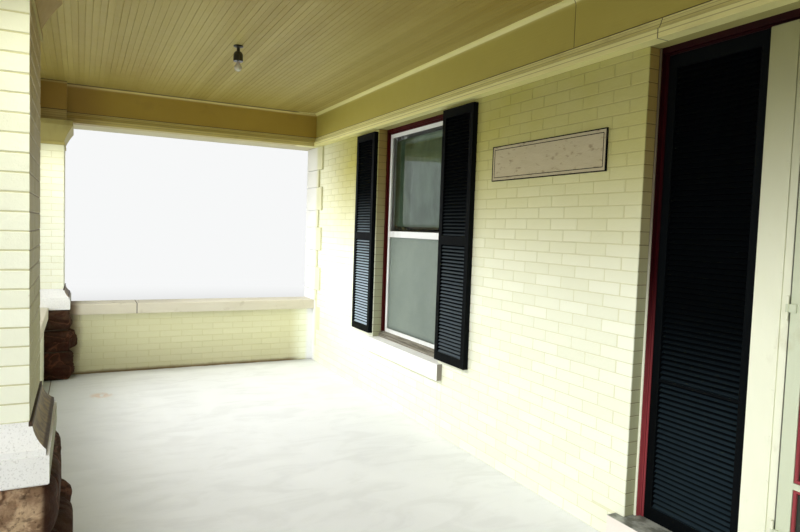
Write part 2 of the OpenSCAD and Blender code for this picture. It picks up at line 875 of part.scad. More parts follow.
// Plate, thin stem and bell-shaped holder of a lamp
module lamp_sockets() {
    stem_r = rose_r / 3;
    plate_t = 8;
    bell_z = 0.36 * socket_h;
    bell_h = 0.3 * socket_h;
    color("black") at_lamps() rotate([180, 0, 0]) rotate_extrude() polygon(concat(
        [[0, 0], [rose_r, 0], [rose_r, plate_t], [stem_r, 2 * plate_t]],
        [for (i = [0:arc_steps]) let (a = 90 * i / arc_steps)
            [stem_r + (rose_r - stem_r) * sin(a), bell_z + bell_h * (1 - cos(a))]],
        [[rose_r, socket_h], [0, socket_h]]));
}

module lamp_bulbs() {
    r = 0.375 * (lamp_h - socket_h);
    neck = r / 3;
    color("white") at_lamps() rotate([180, 0, 0]) rotate_extrude() polygon(concat(
        [[0, socket_h], [neck, socket_h], [neck + 1, socket_h + neck]],
        [for (a = [-50:14:76]) [r * cos(a), lamp_h - r + r * sin(a)]],
        [[0, lamp_h]]));
}

foundation();
floor_slab();
wall_left();
wall_right();
wall_door();
pedestal(1);  // pedestal_1
pedestal(2);  // pedestal_2
pedestal(3);  // pedestal_3
pedestal(4);  // pedestal_4
pedestal_cap(1);  // pedestal_cap_1
pedestal_cap(2);  // pedestal_cap_2
pedestal_cap(3);  // pedestal_cap_3
pedestal_cap(4);  // pedestal_cap_4
column(1);  // column_1
column(2);  // column_2
column(3);  // column_3
column(4);  // column_4
front_low_walls();
end_low_walls();
front_copings();
end_copings();
beam_front();
beam_left();
beam_right();
wall_frieze();
ceiling();
cornice();
roof();
window_frame(-1);  // window_frame_left
window_frame(1);  // window_frame_right
window_storm(-1);  // window_storm_left
window_storm(1);  // window_storm_right
window_sashes();
window_glass();
window_sills();
shutters(-1);  // shutters_left
shutters(1);  // shutters_right
door_sill();
door_casing();
door_mullions();
door_louvres();
storm_door();
door_glass();
door_handle();
door_hinges();
lamp_sockets();
lamp_bulbs();
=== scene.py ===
"""Looks of a covered brick porch: painted bricks, rock-faced stone, boards, paint, glass and shingles."""

import math

import bmesh
import bpy
import numpy as np
from mathutils import Matrix, Vector, noise


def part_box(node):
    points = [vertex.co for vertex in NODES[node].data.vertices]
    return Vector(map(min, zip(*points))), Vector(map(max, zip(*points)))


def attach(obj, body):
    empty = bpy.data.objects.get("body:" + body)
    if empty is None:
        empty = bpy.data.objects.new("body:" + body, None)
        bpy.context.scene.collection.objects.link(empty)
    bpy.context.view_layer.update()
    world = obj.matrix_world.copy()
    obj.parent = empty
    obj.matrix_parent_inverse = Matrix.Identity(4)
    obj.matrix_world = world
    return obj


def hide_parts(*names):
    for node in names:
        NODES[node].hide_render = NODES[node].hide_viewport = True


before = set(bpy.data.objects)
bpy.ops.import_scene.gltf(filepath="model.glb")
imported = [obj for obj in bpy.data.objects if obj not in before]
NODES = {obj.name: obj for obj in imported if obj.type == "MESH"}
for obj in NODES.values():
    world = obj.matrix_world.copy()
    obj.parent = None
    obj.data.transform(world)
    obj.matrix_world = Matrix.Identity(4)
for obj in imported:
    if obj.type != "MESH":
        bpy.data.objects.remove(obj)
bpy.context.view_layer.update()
HOUSE = "house"
DOOR = "door"


def middle_of(node):
    low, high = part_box(node)
    return (low + high) / 2


# Places that the frame gives, in metres
FLOOR_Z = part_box("floor_slab")[1].z
SLAB_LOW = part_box("floor_slab")[0].z
WALL_LOW, WALL_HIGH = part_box("wall_door")
WALL_Y = WALL_LOW.y
WALL_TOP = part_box("wall_left")[1].z
DOORWAY_HALF = WALL_HIGH.x
SOFFIT_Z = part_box("beam_front")[0].z
CEILING_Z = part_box("ceiling")[0].z
ROOF_LOW, ROOF_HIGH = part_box("roof")
LOW_WALL_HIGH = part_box("front_low_walls")[1]
WINDOW_LOW, WINDOW_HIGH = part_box("window_frame_left")
STORM_LOW, STORM_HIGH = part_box("window_storm_left")
SILL_LOW, SILL_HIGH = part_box("window_sills")
PEDESTAL_LOW, PEDESTAL_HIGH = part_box("pedestal_1")
CAP_HIGH_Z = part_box("pedestal_cap_1")[1].z
SHAFT_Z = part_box("column_1")[0].z
CASING_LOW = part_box("door_casing")[0]
DOOR_LOW, DOOR_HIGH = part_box("storm_door")
PANE_LOW, PANE_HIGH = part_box("door_glass")
CORNER_X = abs(middle_of("column_1").x)
ENTRY_X = abs(middle_of("column_2").x)
ROW_Y = middle_of("column_1").y

# Columns, pedestals and low walls
COLUMN_HALF = 0.29
CAPITAL_H = 0.233
PEDESTAL_HALF = 0.34
PEDESTAL_BEDS = (0.0, 0.4, 0.71, 1.0)
PEDESTAL_BACK_Y = ROW_Y + PEDESTAL_HALF
COLUMN_BACK_Y = ROW_Y + COLUMN_HALF
CAP_LIP_Z = PEDESTAL_HIGH.z + 0.1
LOW_WALL_HALF = 0.125
END_WALL_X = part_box("end_low_walls")[1].x - 2 * LOW_WALL_HALF
COPING_H = 0.107
COPING_JOINT_Y = -0.322

# House wall
HOUSE_HALF = 6.285
REVEAL = 0.09
COURSE_OF_QUOINS = 0.0677
QUOIN_TALL = 4 * COURSE_OF_QUOINS
QUOIN_PITCH = 7 * COURSE_OF_QUOINS
QUOIN_LONG = 0.5
QUOIN_SHORT = 0.39
BEHIND_QUOIN = 0.25
BEHIND_QUOIN_END = 0.15
SILL_EARS = 0.12
DOOR_SILL_H = 0.15
PLAQUE_LOW = (-2.43, 2.300)
PLAQUE_HIGH = (-1.40, 2.533)

# Beams, mouldings, ceiling and floor
MOULD_TOP_Z = SOFFIT_Z + 0.1
MOULD_STEPS = (0.26, 0.47, 0.7, 0.89)
INSIDE_X = 6.05
INSIDE_Y = -1.35
CEILING_BOARD = 0.083
SEAM_Y = -1.11
RUST_SPOT = (-5.10, -0.685, FLOOR_Z)

# Bricks
BRICK_PITCH = 0.2234
COURSE = 0.0679
SHAFT_COURSES = 22
JOINT = 0.0052
SLIVER = 2.5 * JOINT
HEADER = 0.1035
PROUD = 0.002
BRICK_BEVEL = 0.0018
BRICK_DEPTH = 0.02
NEAR = 1e-6

# Rough stones
STONE_JOINT = 0.014
SWELL = 0.042
HOUSE_SIDE_SWELLS = (1.8, 1.9, 0.9)
FOUNDATION_HALF = 0.15
FOOTING_OUT = 0.034
FOUNDATION_STONE = 0.42
FOUNDATION_DEPTH = 0.08

# Roof
ROOF_RUN = ROOF_HIGH.y - ROOF_LOW.y
PITCH = 0.27
EAVE_Z = ROOF_HIGH.z - PITCH * ROOF_RUN
EXPOSURE = 0.135
TAB = 0.305
TAB_GAP = 0.004
HIP_WING = 0.13
TAB_FACES = ((0, 1, 2, 3), (4, 5, 6, 7), (0, 1, 5, 4), (1, 2, 6, 5), (2, 3, 7, 6), (3, 0, 4, 7))
HIP_FACES = ((0, 1, 4, 3), (1, 2, 5, 4), (6, 7, 10, 9), (7, 8, 11, 10), (0, 1, 7, 6), (1, 2, 8, 7),
             (3, 4, 10, 9), (4, 5, 11, 10), (0, 3, 9, 6), (2, 5, 11, 8))

# Windows
MEETING_LOW = FLOOR_Z + 1.533
MEETING_HIGH = MEETING_LOW + 0.051
STORM_EDGE = 0.032
SASH_EDGE = 0.045
SASH_PITCH = 0.034
SASH_Y = STORM_HIGH.y + 0.023
PANE_T = 0.003
THREAD_PITCH = 0.0016

# Door
DOOR_FACE_Y = WALL_Y + REVEAL - 0.006
DOOR_RAIL_LOW = DOOR_LOW.z + 0.425
DOOR_RAIL_HIGH = DOOR_LOW.z + 0.471
DOOR_LIGHTS = ((PANE_LOW.z, DOOR_RAIL_LOW), (DOOR_RAIL_HIGH, PANE_HIGH.z))
CASING_GROOVE_X = DOORWAY_HALF - 0.026
NAIL_X = 0.496

# Stage and camera
BACKDROP = (0.93, 0.94, 0.94, 1)
DAYLIGHT = (0.96, 0.98, 1.0, 1)
STAGE_REACH = 150
EYE = (1.0519, -0.8559, 1.9402)
EYE_YAW = 0.4794
EYE_PITCH = 0.0565
EYE_ROLL = 0.0348
LENS = 27.70


def rgb(red, green, blue):
    """A colour given as it looks on screen, 0 to 255, as the shader's linear numbers."""
    def linear(value):
        value /= 255
        return value / 12.92 if value <= 0.04045 else ((value + 0.055) / 1.055) ** 2.4
    return (linear(red), linear(green), linear(blue), 1.0)


class Value:
    """What one output of a node gives, for ordinary arithmetic."""

    def __init__(self, nodes, socket):
        self.nodes = nodes
        self.socket = socket

    def __add__(self, other):
        return self.nodes.math("ADD", self, other)

    def __sub__(self, other):
        return self.nodes.math("SUBTRACT", self, other)

    def __mul__(self, other):
        return self.nodes.math("MULTIPLY", self, other)

    def __truediv__(self, other):
        return self.nodes.math("DIVIDE", self, other)

    def __abs__(self):
        return self.nodes.math("ABSOLUTE", self)

    def most(self, other):
        return self.nodes.math("MAXIMUM", self, other)

    def ramp(self, start, end):
        """0 at the start, 1 at the end, and smooth between them; the start may be the higher one."""
        return self.nodes.value("MapRange", {"Value": self, "From Min": start, "From Max": end},
                                interpolation_type="SMOOTHSTEP")

    def span(self, low, high):
        """0 to 1 turned into low to high."""
        return self.nodes.value("MapRange", {"Value": self, "To Min": low, "To Max": high})

    def line(self, place, outer, inner):
        """1 closer to a place than the inner distance, 0 past the outer one."""
        return abs(self - place).ramp(outer, inner)


class Nodes:
    """The nodes of one tree."""

    def __init__(self, tree):
        self.tree = tree

    def node(self, kind, inputs, **settings):
        made = self.tree.nodes.new("ShaderNode" + kind)
        for key, setting in settings.items():
            setattr(made, key, setting)
        for key, given in inputs.items():
            if isinstance(given, Value):
                self.link(given, made.inputs[key])
            else:
                made.inputs[key].default_value = given
        return made

    def value(self, kind, inputs, output=0, **settings):
        return Value(self, self.node(kind, inputs, **settings).outputs[output])

    def link(self, value, socket):
        self.tree.links.new(value.socket, socket)

    def math(self, operation, a, b=0.0):
        return self.value("Math", {0: a, 1: b}, operation=operation)


class Look(Nodes):
    """One material; the keywords are its shader's fixed numbers."""

    def __init__(self, name, **fixed):
        self.material = bpy.data.materials.new(name)
        self.material.use_nodes = True
        super().__init__(self.material.node_tree)
        self.shader = self.tree.nodes["Principled BSDF"]
        for socket, number in fixed.items():
            self.shader.inputs[socket.replace("_", " ")].default_value = number
        self.place = self.value("TexCoord", {}, "Object")

    def axis(self, name):
        return self.value("SeparateXYZ", {0: self.place}, name)

    @property
    def across(self):
        """Distance from the doorway's middle along the wall."""
        return abs(self.axis("X"))

    @property
    def depth(self):
        return self.axis("Y")

    @property
    def height(self):
        return self.axis("Z")

    def facing(self, name):
        return self.value("SeparateXYZ", {0: self.value("TexCoord", {}, "Normal")}, name)

    def noise(self, scale, detail=3.0, stretch=(1, 1, 1), shift=0.0, warp=0.0):
        place = self.value("Mapping", {"Vector": self.place, "Scale": stretch,
                                       "Location": (shift, shift, shift)})
        return self.value("TexNoise", {"Vector": place, "Scale": scale, "Detail": detail, "Roughness": 0.6,
                                       "Distortion": warp}, "Fac")

    def island(self):
        """A chance number for each loose part of a mesh."""
        return self.value("NewGeometry", {}, "Random Per Island")

    def mix(self, share, a, b):
        return self.value("Mix", {0: share, 6: a, 7: b}, 2, data_type="RGBA")

    def finish(self, colour, roughness, *relief):
        """Sets the colour, the roughness and the relief's layers, each (height, depth in metres)."""
        self.link(colour, self.shader.inputs["Base Color"])
        self.link(roughness, self.shader.inputs["Roughness"])
        normal = None
        for height, depth in relief:
            inputs = {"Height": height, "Distance": depth, "Strength": 1.0}
            if normal:
                inputs["Normal"] = normal
            normal = self.value("Bump", inputs)
        if normal:
            self.link(normal, self.shader.inputs["Normal"])
        return self.material


def shade_under_roof(look):
    """Painted shade: more towards the ceiling on the house wall under the roof, less at its ends, some high
    on the columns.
    """
    roof_shade = look.height.ramp(FLOOR_Z + 1.0, SOFFIT_Z - 0.2)
    roof_shade *= look.height.ramp(CEILING_Z + 0.4, CEILING_Z + 0.2)
    roof_shade *= look.depth.ramp(WALL_Y - 0.5, WALL_Y - 0.3)
    roof_shade *= look.across.ramp(4.8, 6.1).span(1.0, 0.25)
    columns = look.depth.ramp(WALL_Y - 0.6, WALL_Y - 0.7) * look.height.ramp(FLOOR_Z + 1.3, SOFFIT_Z + 0.1)
    patchy = look.noise(1.3, 4, (0.7, 1, 1)).span(0.75, 1.2)
    return look.math("MINIMUM", roof_shade.most(columns * 0.55) * patchy, 1.0)


def shaded_sides(look):
    """The columns' house side and the sides of the openings: painted shade, and a little dusty paint."""
    columns = look.facing("Y").ramp(0.4, 0.8) * look.across.ramp(5.0, 4.0)
    columns *= look.depth.ramp(WALL_Y - 0.6, WALL_Y - 0.7)
    openings = abs(look.facing("X")).ramp(0.4, 0.8) * look.depth.ramp(WALL_Y + 0.002, WALL_Y + 0.008)
    openings *= look.across.ramp(HOUSE_HALF - 0.05, HOUSE_HALF - 0.1)
    return columns.most(openings)


def end_wall(look):
    """The inner faces of the end low walls."""
    inner = look.across.ramp(END_WALL_X - 0.02, END_WALL_X - 0.01)
    inner *= look.depth.ramp(WALL_Y - 0.1, WALL_Y - 0.3)
    return inner * look.height.ramp(LOW_WALL_HIGH.z + 0.01, LOW_WALL_HIGH.z)


def foot_dirt(look):
    """Rusty dirt: at the foot of the low walls' inner faces, and beside the corner pedestals."""
    ragged = look.noise(9, 4, (1, 1, 0.5), 5.0).span(0.02, 0.2)
    beside = (look.depth - PEDESTAL_BACK_Y).ramp(ragged + 0.05, 0.0)
    foot = look.height.ramp(ragged * 0.35 + (FLOOR_Z + 0.02), FLOOR_Z + 0.005)
    rising = look.height.ramp(FLOOR_Z + 0.4, FLOOR_Z) * 0.25
    return beside.most(foot).most(rising)


def shade_and_dirt(look, tint):
    """The paint's tint with painted shade on the shaded sides, the end low walls' inner faces darker olive,
    and rusty dirt at their foot.
    """
    # Painted shade for the shaded sides: olive on the columns, grey-green in the openings, browner higher up,
    # a little dirty.
    low = look.mix(look.depth.ramp(WALL_Y - 0.2, WALL_Y - 0.1), rgb(160, 154, 90), rgb(156, 162, 124))
    low = look.mix(look.noise(6, 5, (2, 2, 0.5)) * 0.6, low, rgb(112, 104, 62))
    layer_tint = look.mix(look.height.ramp(FLOOR_Z + 1.0, SOFFIT_Z), low, rgb(150, 122, 58))
    tint = look.mix(shaded_sides(look) * 0.88, tint, layer_tint)
    low_wall = end_wall(look)
    # The end low walls' inner faces darker and more olive.
    tint = look.mix(low_wall * 0.55, tint, rgb(198, 192, 130))
    rust = look.mix(look.noise(14, 4), rgb(126, 92, 44), rgb(70, 46, 26))
    return look.mix(foot_dirt(look) * low_wall * 0.85, tint, rust)


def corner_highlight(look, tint):
    """Painted highlight: the house corner's paint made whiter, as where daylight falls on it."""
    corner = look.across.ramp(5.9, 6.0) * look.depth.ramp(WALL_Y - 0.1, WALL_Y - 0.05)
    return look.mix(corner * 0.9, tint, rgb(250, 252, 255))


def brick_paint():
    """Thick cream paint over bricks: a tint for each brick, painted shade high up, thin streaks, a painted
    highlight at the house corner.
    """
    look = Look("brick_paint")
    tint = look.mix(look.island(), rgb(250, 253, 234), rgb(243, 246, 224))
    # Painted shade: darker olive high up under the roof; painted highlight: whiter at the house corner.
    tint = look.mix(shade_under_roof(look), corner_highlight(look, tint), rgb(174, 168, 82))
    streak = look.noise(2.2, 5, (1.5, 1.5, 0.35)).ramp(0.6, 0.85)
    tint = look.mix(streak * 0.22, tint, rgb(196, 190, 150))
    chip = look.noise(38, 4, shift=3.1).ramp(0.73, 0.76)
    tint = shade_and_dirt(look, look.mix(chip * 0.4, tint, rgb(160, 144, 108)))
    return look.finish(tint, look.noise(9, 3).span(0.42, 0.68), (look.noise(46, 4), 0.002),
                       (look.noise(260, 2), 0.0007))


def joint_tint(look, light, dark):
    """The bricks' paint in the joints: darker than the bricks, with painted shade under the roof and, a
    little dusty, on the shaded sides.
    """
    # Painted highlight at the house corner; painted shade under the roof and on the shaded sides.
    tint = corner_highlight(look, look.mix(look.noise(7, 4), light, dark))
    tint = shade_and_dirt(look, look.mix(shade_under_roof(look), tint, rgb(164, 156, 84)))
    return look.mix(shaded_sides(look) * 0.55, tint, rgb(84, 66, 32))


def joint_paint():
    """Painted joints; plaster on the house side of a wall."""
    look = Look("joint_paint")
    inside = look.depth.ramp(WALL_Y + 0.2, WALL_Y + 0.22)
    plaster = look.mix(look.noise(3, 5), rgb(222, 217, 204), rgb(203, 196, 180))
    tint = look.mix(inside, joint_tint(look, rgb(237, 238, 208), rgb(222, 223, 188)), plaster)
    return look.finish(tint, look.noise(30, 3).span(0.6, 0.85), (look.noise(90, 4), 0.0015),
                       (look.noise(6, 4), 0.004))


def shaft_paint():
    """A column's joints between its cap and its capital, and the capital's smooth paint, painted darker olive
    as shade.
    """
    look = Look("shaft_paint")
    smooth = look.height.ramp(SOFFIT_Z - CAPITAL_H - 0.002, SOFFIT_Z - CAPITAL_H)
    # The capital's paint, painted darker olive as shade.
    capital = look.mix(look.noise(4, 5), rgb(178, 168, 102), rgb(160, 148, 84))
    stain = look.noise(3, 5, (2, 2, 0.5), 5.0).ramp(0.55, 0.75)
    capital = look.mix(stain * 0.35, capital, rgb(134, 118, 62))
    corner = look.across.ramp(4.0, 5.0)
    light = look.mix(corner, rgb(216, 214, 176), rgb(236, 236, 206))
    dark = look.mix(corner, rgb(198, 195, 152), rgb(224, 224, 190))
    tint = look.mix(smooth, joint_tint(look, light, dark), shade_and_dirt(look, capital))
    return look.finish(tint, look.noise(20, 3).span(0.45, 0.7), (look.noise(60, 4), 0.0015))


def butt_joint(look, first, length):
    """Thin upright line where two boards of a length meet, along X, one of them at a known place."""
    start = first - 40 * length
    part = look.math("FRACT", (look.axis("X") - start) / length)
    return part.line(0.5, 0.4993, 0.49965)


def shaded_middle(look):
    """Painted shade under the roof, more towards the doorway."""
    return look.across.ramp(3.4, 0.8)


def trim_paint():
    """Oil paint of many years on planed boards: butt joints, brush marks, rubbed places, painted shade inside
    the porch.
    """
    look = Look("trim_paint")
    cloud, height = look.noise(1.7, 5, (0.5, 1, 1)), look.height
    inside = look.depth.ramp(INSIDE_Y - 0.01, INSIDE_Y) * look.across.ramp(INSIDE_X + 0.01, INSIDE_X)
    moulding = height.ramp(MOULD_TOP_Z + 0.002, MOULD_TOP_Z)
    on_wall = look.depth.ramp(WALL_Y - 0.3, WALL_Y - 0.25) * abs(look.facing("X")).ramp(0.5, 0.3)
    # Outside the porch the paint's own colour; inside, the same paint painted darker and more olive as shade,
    # more on the beams than on the wall boards.
    outside_paint = look.mix(cloud, rgb(226, 219, 176), rgb(212, 203, 156))
    beam = look.mix(cloud, rgb(178, 152, 62), rgb(160, 132, 44))
    board = look.mix(cloud, rgb(202, 192, 104), rgb(184, 172, 80))
    # Painted highlight on the mouldings and the cove under the ceiling, strongest on the wall.
    pale = moulding.most(height.ramp(CEILING_Z - 0.026, CEILING_Z - 0.018)) * on_wall.span(0.4, 0.95)
    shaded_inside = look.mix(pale, look.mix(on_wall, beam, board), rgb(248, 244, 172))
    # Painted shade towards the doorway.
    shaded_inside = look.mix(shaded_middle(look) * 0.15, shaded_inside, rgb(150, 126, 40))
    corner = look.across.ramp(5.3, 5.8) * look.depth.ramp(-0.5, -0.9)
    shaded_inside = look.mix(corner * 0.5, shaded_inside, rgb(126, 88, 38))
    tint = look.mix(inside, outside_paint, shaded_inside)
    worn = look.noise(4, 6, (0.6, 1, 1.4), 7.0).ramp(0.6, 0.75)
    tint = look.mix(worn * 0.3, tint, rgb(140, 116, 52))
    # Painted shade in the groove above the moulding.
    groove = height.ramp(MOULD_TOP_Z - 0.001, MOULD_TOP_Z + 0.001)
    groove *= height.ramp(MOULD_TOP_Z + 0.009, MOULD_TOP_Z + 0.007)
    tint = look.mix(groove * 0.85, tint, rgb(66, 44, 18))
    # Painted shade along the ceiling's edge on the beams.
    slit = height.ramp(CEILING_Z - 0.008, CEILING_Z - 0.005) * on_wall.span(0.8, 0.0)
    tint = look.mix(slit, tint, rgb(60, 40, 18))
    # Painted shade in the moulding's steps.
    for share in MOULD_STEPS:
        step = height.line(SOFFIT_Z + share * (MOULD_TOP_Z - SOFFIT_Z), 0.003, 0.0012)
        tint = look.mix(step * 0.5, tint, rgb(104, 82, 34))
    butt = look.mix(moulding, butt_joint(look, -1.66, 4.88), butt_joint(look, -1.055, 5.3))
    tint = look.mix(butt * 0.8, tint, rgb(62, 52, 26))
    return look.finish(tint, look.noise(12, 3).span(0.38, 0.62), (look.noise(9, 4, (0.6, 14, 14)), 0.001),
                       (look.noise(150, 2), 0.0005), (butt, -0.003))


def ceiling_paint():
    """Painted beaded boards, each a little different, their colour painted darker olive as shade."""
    look = Look("ceiling_paint")
    board = look.math("FLOOR", look.depth / CEILING_BOARD)
    chance = look.value("TexWhiteNoise", {"W": board}, "Value", noise_dimensions="1D")
    # The boards' cream paint, painted darker olive as shade.
    tint = look.mix(chance, rgb(186, 172, 98), rgb(170, 154, 78))
    stain = look.noise(0.7, 6, (0.5, 1.2, 1), 2.0).ramp(0.45, 0.72)
    tint = look.mix(stain * 0.5, tint, rgb(160, 136, 62))
    # Painted shade towards the doorway.
    tint = look.mix(shaded_middle(look) * 0.7, tint, rgb(138, 112, 12))
    return look.finish(tint, look.noise(10, 3).span(0.4, 0.6), (look.noise(8, 4, (0.5, 18, 18)), 0.0008),
                       (look.noise(120, 2), 0.0005))


def concrete():
    """Worn porch floor: pale grey, faint trowel swirls, grit, rust-orange marks, painted shadow by the low
    walls.
    """
    look = Look("concrete")
    across, depth = look.across, look.depth
    tint = look.mix(look.noise(1.1, 6, warp=0.8), rgb(248, 251, 254), rgb(230, 233, 236))
    swirl = look.noise(3.0, 5, (2.0, 0.8, 1), 1.0, 0.9)
    tint = look.mix(swirl.ramp(0.44, 0.66) * 0.12, tint, rgb(168, 170, 170))
    # Painted shadow of the front low walls: darker towards them.
    tint = look.mix(depth.ramp(-0.3, -1.15) * 0.5, tint, rgb(134, 138, 140))
    # Painted shadow along the end low walls.
    tint = look.mix(across.ramp(END_WALL_X - 0.25, END_WALL_X) * 0.4, tint, rgb(112, 112, 108))
    grit = look.noise(240, 2).ramp(0.55, 0.8)
    tint = look.mix(grit * 0.2, tint, rgb(150, 147, 138))
    spot = look.value("VectorMath", {0: look.place, 1: RUST_SPOT}, "Value", operation="DISTANCE")
    rust = spot.ramp(0.13, 0.03) * look.noise(14, 4, (0.7, 1.2, 1)).ramp(0.36, 0.56)
    tint = look.mix(rust * 0.5, tint, rgb(208, 164, 124))
    seam = depth.line(SEAM_Y, 0.005, 0.003) * across.ramp(5.86, 5.84)
    debris = across.ramp(END_WALL_X - 0.02, END_WALL_X - 0.008) * look.noise(7, 5, shift=3.0).ramp(0.34, 0.5)
    tint = look.mix(seam.most(debris) * 0.85, tint, rgb(84, 54, 36))
    return look.finish(tint, look.noise(5, 4).span(0.5, 0.78), (swirl, 0.0008), (look.noise(180, 3), 0.0009))


def rock(name, light, middle, dark, stone_shade_amount=0.0):
    """Rock-faced sandstone: a tint for each stone, mineral bands, pale fractures, dark pits; painted shade
    where asked.
    """
    look = Look(name, Specular_IOR_Level=0.12)
    band = look.noise(7, 8, (1, 1, 2), warp=0.6).ramp(0.42, 0.6)
    tint = look.mix(band * 0.8, look.mix(look.island(), light, middle), dark)
    rust = look.noise(9, 5, shift=4.0).ramp(0.52, 0.7)
    tint = look.mix(rust * 0.4, tint, rgb(138, 74, 46))
    # Painted shade on the house side and on the corner pedestals, by the given amount.
    stone_shade = look.across.ramp(3.0, 5.0).most(look.depth.ramp(PEDESTAL_BACK_Y - 0.02, PEDESTAL_BACK_Y + 0.002))
    stone_shade *= look.height.ramp(FLOOR_Z + 0.2, FLOOR_Z + 0.7).span(1.0, 0.93)
    stone_shade *= stone_shade_amount
    stone_shade_tint = look.mix(look.noise(16, 5, (1, 1, 0.6)), rgb(60, 22, 14), rgb(18, 6, 5))
    tint = look.mix(stone_shade, tint, stone_shade_tint)
    crease = abs(look.noise(2.9, 3, (1, 1, 1.5), 9.0, 0.4) - 0.5)
    pale = look.mix(stone_shade, rgb(228, 204, 176), rgb(112, 62, 44))
    tint = look.mix(crease.ramp(0.018, 0.006) * 0.45, tint, pale)
    shadow = crease.ramp(0.018, 0.028) * crease.ramp(0.05, 0.035)
    tint = look.mix(shadow * 0.7, tint, rgb(62, 38, 24))
    pit = look.noise(60, 4).ramp(0.5, 0.68)
    tint = look.mix(pit * 0.6, tint, rgb(60, 40, 27))
    return look.finish(tint, look.noise(20, 3).span(0.7, 0.92), (crease.ramp(0.0, 0.12), 0.014),
                       (look.noise(24, 6), 0.01), (look.noise(130, 4), 0.003))


def mortar():
    """Grey-brown mortar between the stones."""
    look = Look("stone_mortar")
    tint = look.mix(look.noise(40, 4), rgb(104, 92, 78), rgb(66, 56, 46))
    return look.finish(tint, look.noise(30, 2).span(0.8, 0.95), (look.noise(110, 4), 0.004))


def painted_stone():
    """White masonry paint on cut stone: pinholes, grey rain marks, brown dirt and painted shade on the caps'
    house side.
    """
    look = Look("painted_stone")
    height = look.height
    tint = look.mix(look.noise(5, 5), rgb(250, 251, 250), rgb(238, 239, 236))
    hole = look.noise(150, 3).ramp(0.54, 0.66)
    tint = look.mix(hole * 0.3, tint, rgb(150, 148, 142))
    rain = look.noise(3, 5, (2, 2, 0.6), 6.0).ramp(0.58, 0.8)
    tint = look.mix(rain * 0.35, tint, rgb(186, 182, 166))
    top = height.ramp(CAP_HIGH_Z - 0.016, CAP_HIGH_Z - 0.012)
    # Brown dirt and painted shade on the caps' house side, behind the columns.
    behind = look.depth.ramp(COLUMN_BACK_Y - 0.002, COLUMN_BACK_Y)
    behind *= look.depth.ramp(WALL_Y - 0.5, WALL_Y - 0.6)
    behind *= look.facing("Y").ramp(0.04, 0.12).most(top)
    lip = height.ramp(CAP_LIP_Z - 0.003, CAP_LIP_Z - 0.001)
    dirt = look.noise(34, 6, (1, 1, 0.6)).ramp(0.34, 0.66)
    brown = look.mix(lip, rgb(124, 124, 86), look.mix(dirt, rgb(134, 110, 56), rgb(74, 46, 20)))
    tint = look.mix(behind * 0.9, tint, brown)
    # Painted shade lines at the lip and at the column's foot.
    edge = lip * height.ramp(CAP_LIP_Z + 0.032, CAP_LIP_Z + 0.025)
    edge = edge.most(height.ramp(CAP_HIGH_Z - 0.02, CAP_HIGH_Z - 0.014))
    tint = look.mix(edge * behind * 0.85, tint, rgb(44, 20, 12))
    # Painted shade on the sills' ends.
    sill_end = abs(look.facing("X")).ramp(0.5, 0.8) * look.depth.ramp(WALL_Y - 0.2, WALL_Y - 0.1)
    tint = look.mix(sill_end * 0.8, tint, rgb(96, 84, 60))
    return look.finish(tint, look.noise(14, 3).span(0.5, 0.8), (look.noise(32, 5), 0.003),
                       (look.noise(160, 3), 0.001))


def coping_stone():
    """Cut stone under worn cream paint, dirty beside the corner pedestals."""
    look = Look("coping_stone")
    tint = look.mix(look.noise(2, 5, (0.6, 0.6, 2)), rgb(228, 224, 208), rgb(208, 201, 180))
    stain = look.noise(6, 5, shift=8.0).ramp(0.55, 0.75)
    tint = look.mix(stain * 0.45, tint, rgb(156, 142, 110))
    beside = look.depth.ramp(PEDESTAL_BACK_Y + 0.12, PEDESTAL_BACK_Y + 0.02)
    beside *= look.across.ramp(END_WALL_X - 0.2, END_WALL_X - 0.1)
    tint = look.mix(beside * 0.8, tint, rgb(100, 66, 36))
    tint = look.mix(look.depth.line(COPING_JOINT_Y, 0.006, 0.003) * 0.9, tint, rgb(70, 62, 48))
    return look.finish(tint, look.noise(14, 3).span(0.6, 0.85), (look.noise(24, 5), 0.004),
                       (look.noise(170, 3), 0.0012))


def slat_paint(name, node, layer_tint, share, heights):
    """Black gloss paint on louvres, with a painted sheen and a little dusty paint on the slats' outer edges,
    more so low down.
    """
    low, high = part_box(node)
    deep = high.y - low.y
    look = Look(name, Specular_IOR_Level=0.06)
    tint = look.mix(look.noise(7, 4, (1, 1, 0.4)), rgb(9, 13, 16), rgb(4, 6, 7))
    # Painted sheen, a little dusty, on the upper faces' outer parts, more low down and away from the doorway.
    lying = look.depth.ramp(low.y + 0.48 * deep, low.y + 0.32 * deep) * look.facing("Z").ramp(0.05, 0.3)
    dusty_sheen_amount = look.height.ramp(*heights) * look.noise(18, 4).span(0.6, 1.0)
    dusty_sheen_amount *= look.across.ramp(3.2, 4.2).span(0.28, 1.4)
    return look.finish(look.mix(lying * dusty_sheen_amount * share, tint, layer_tint), look.noise(16, 3).span(0.45, 0.65),
                       (look.noise(14, 3, (6, 6, 0.7)), 0.0007), (look.noise(140, 2), 0.0004))


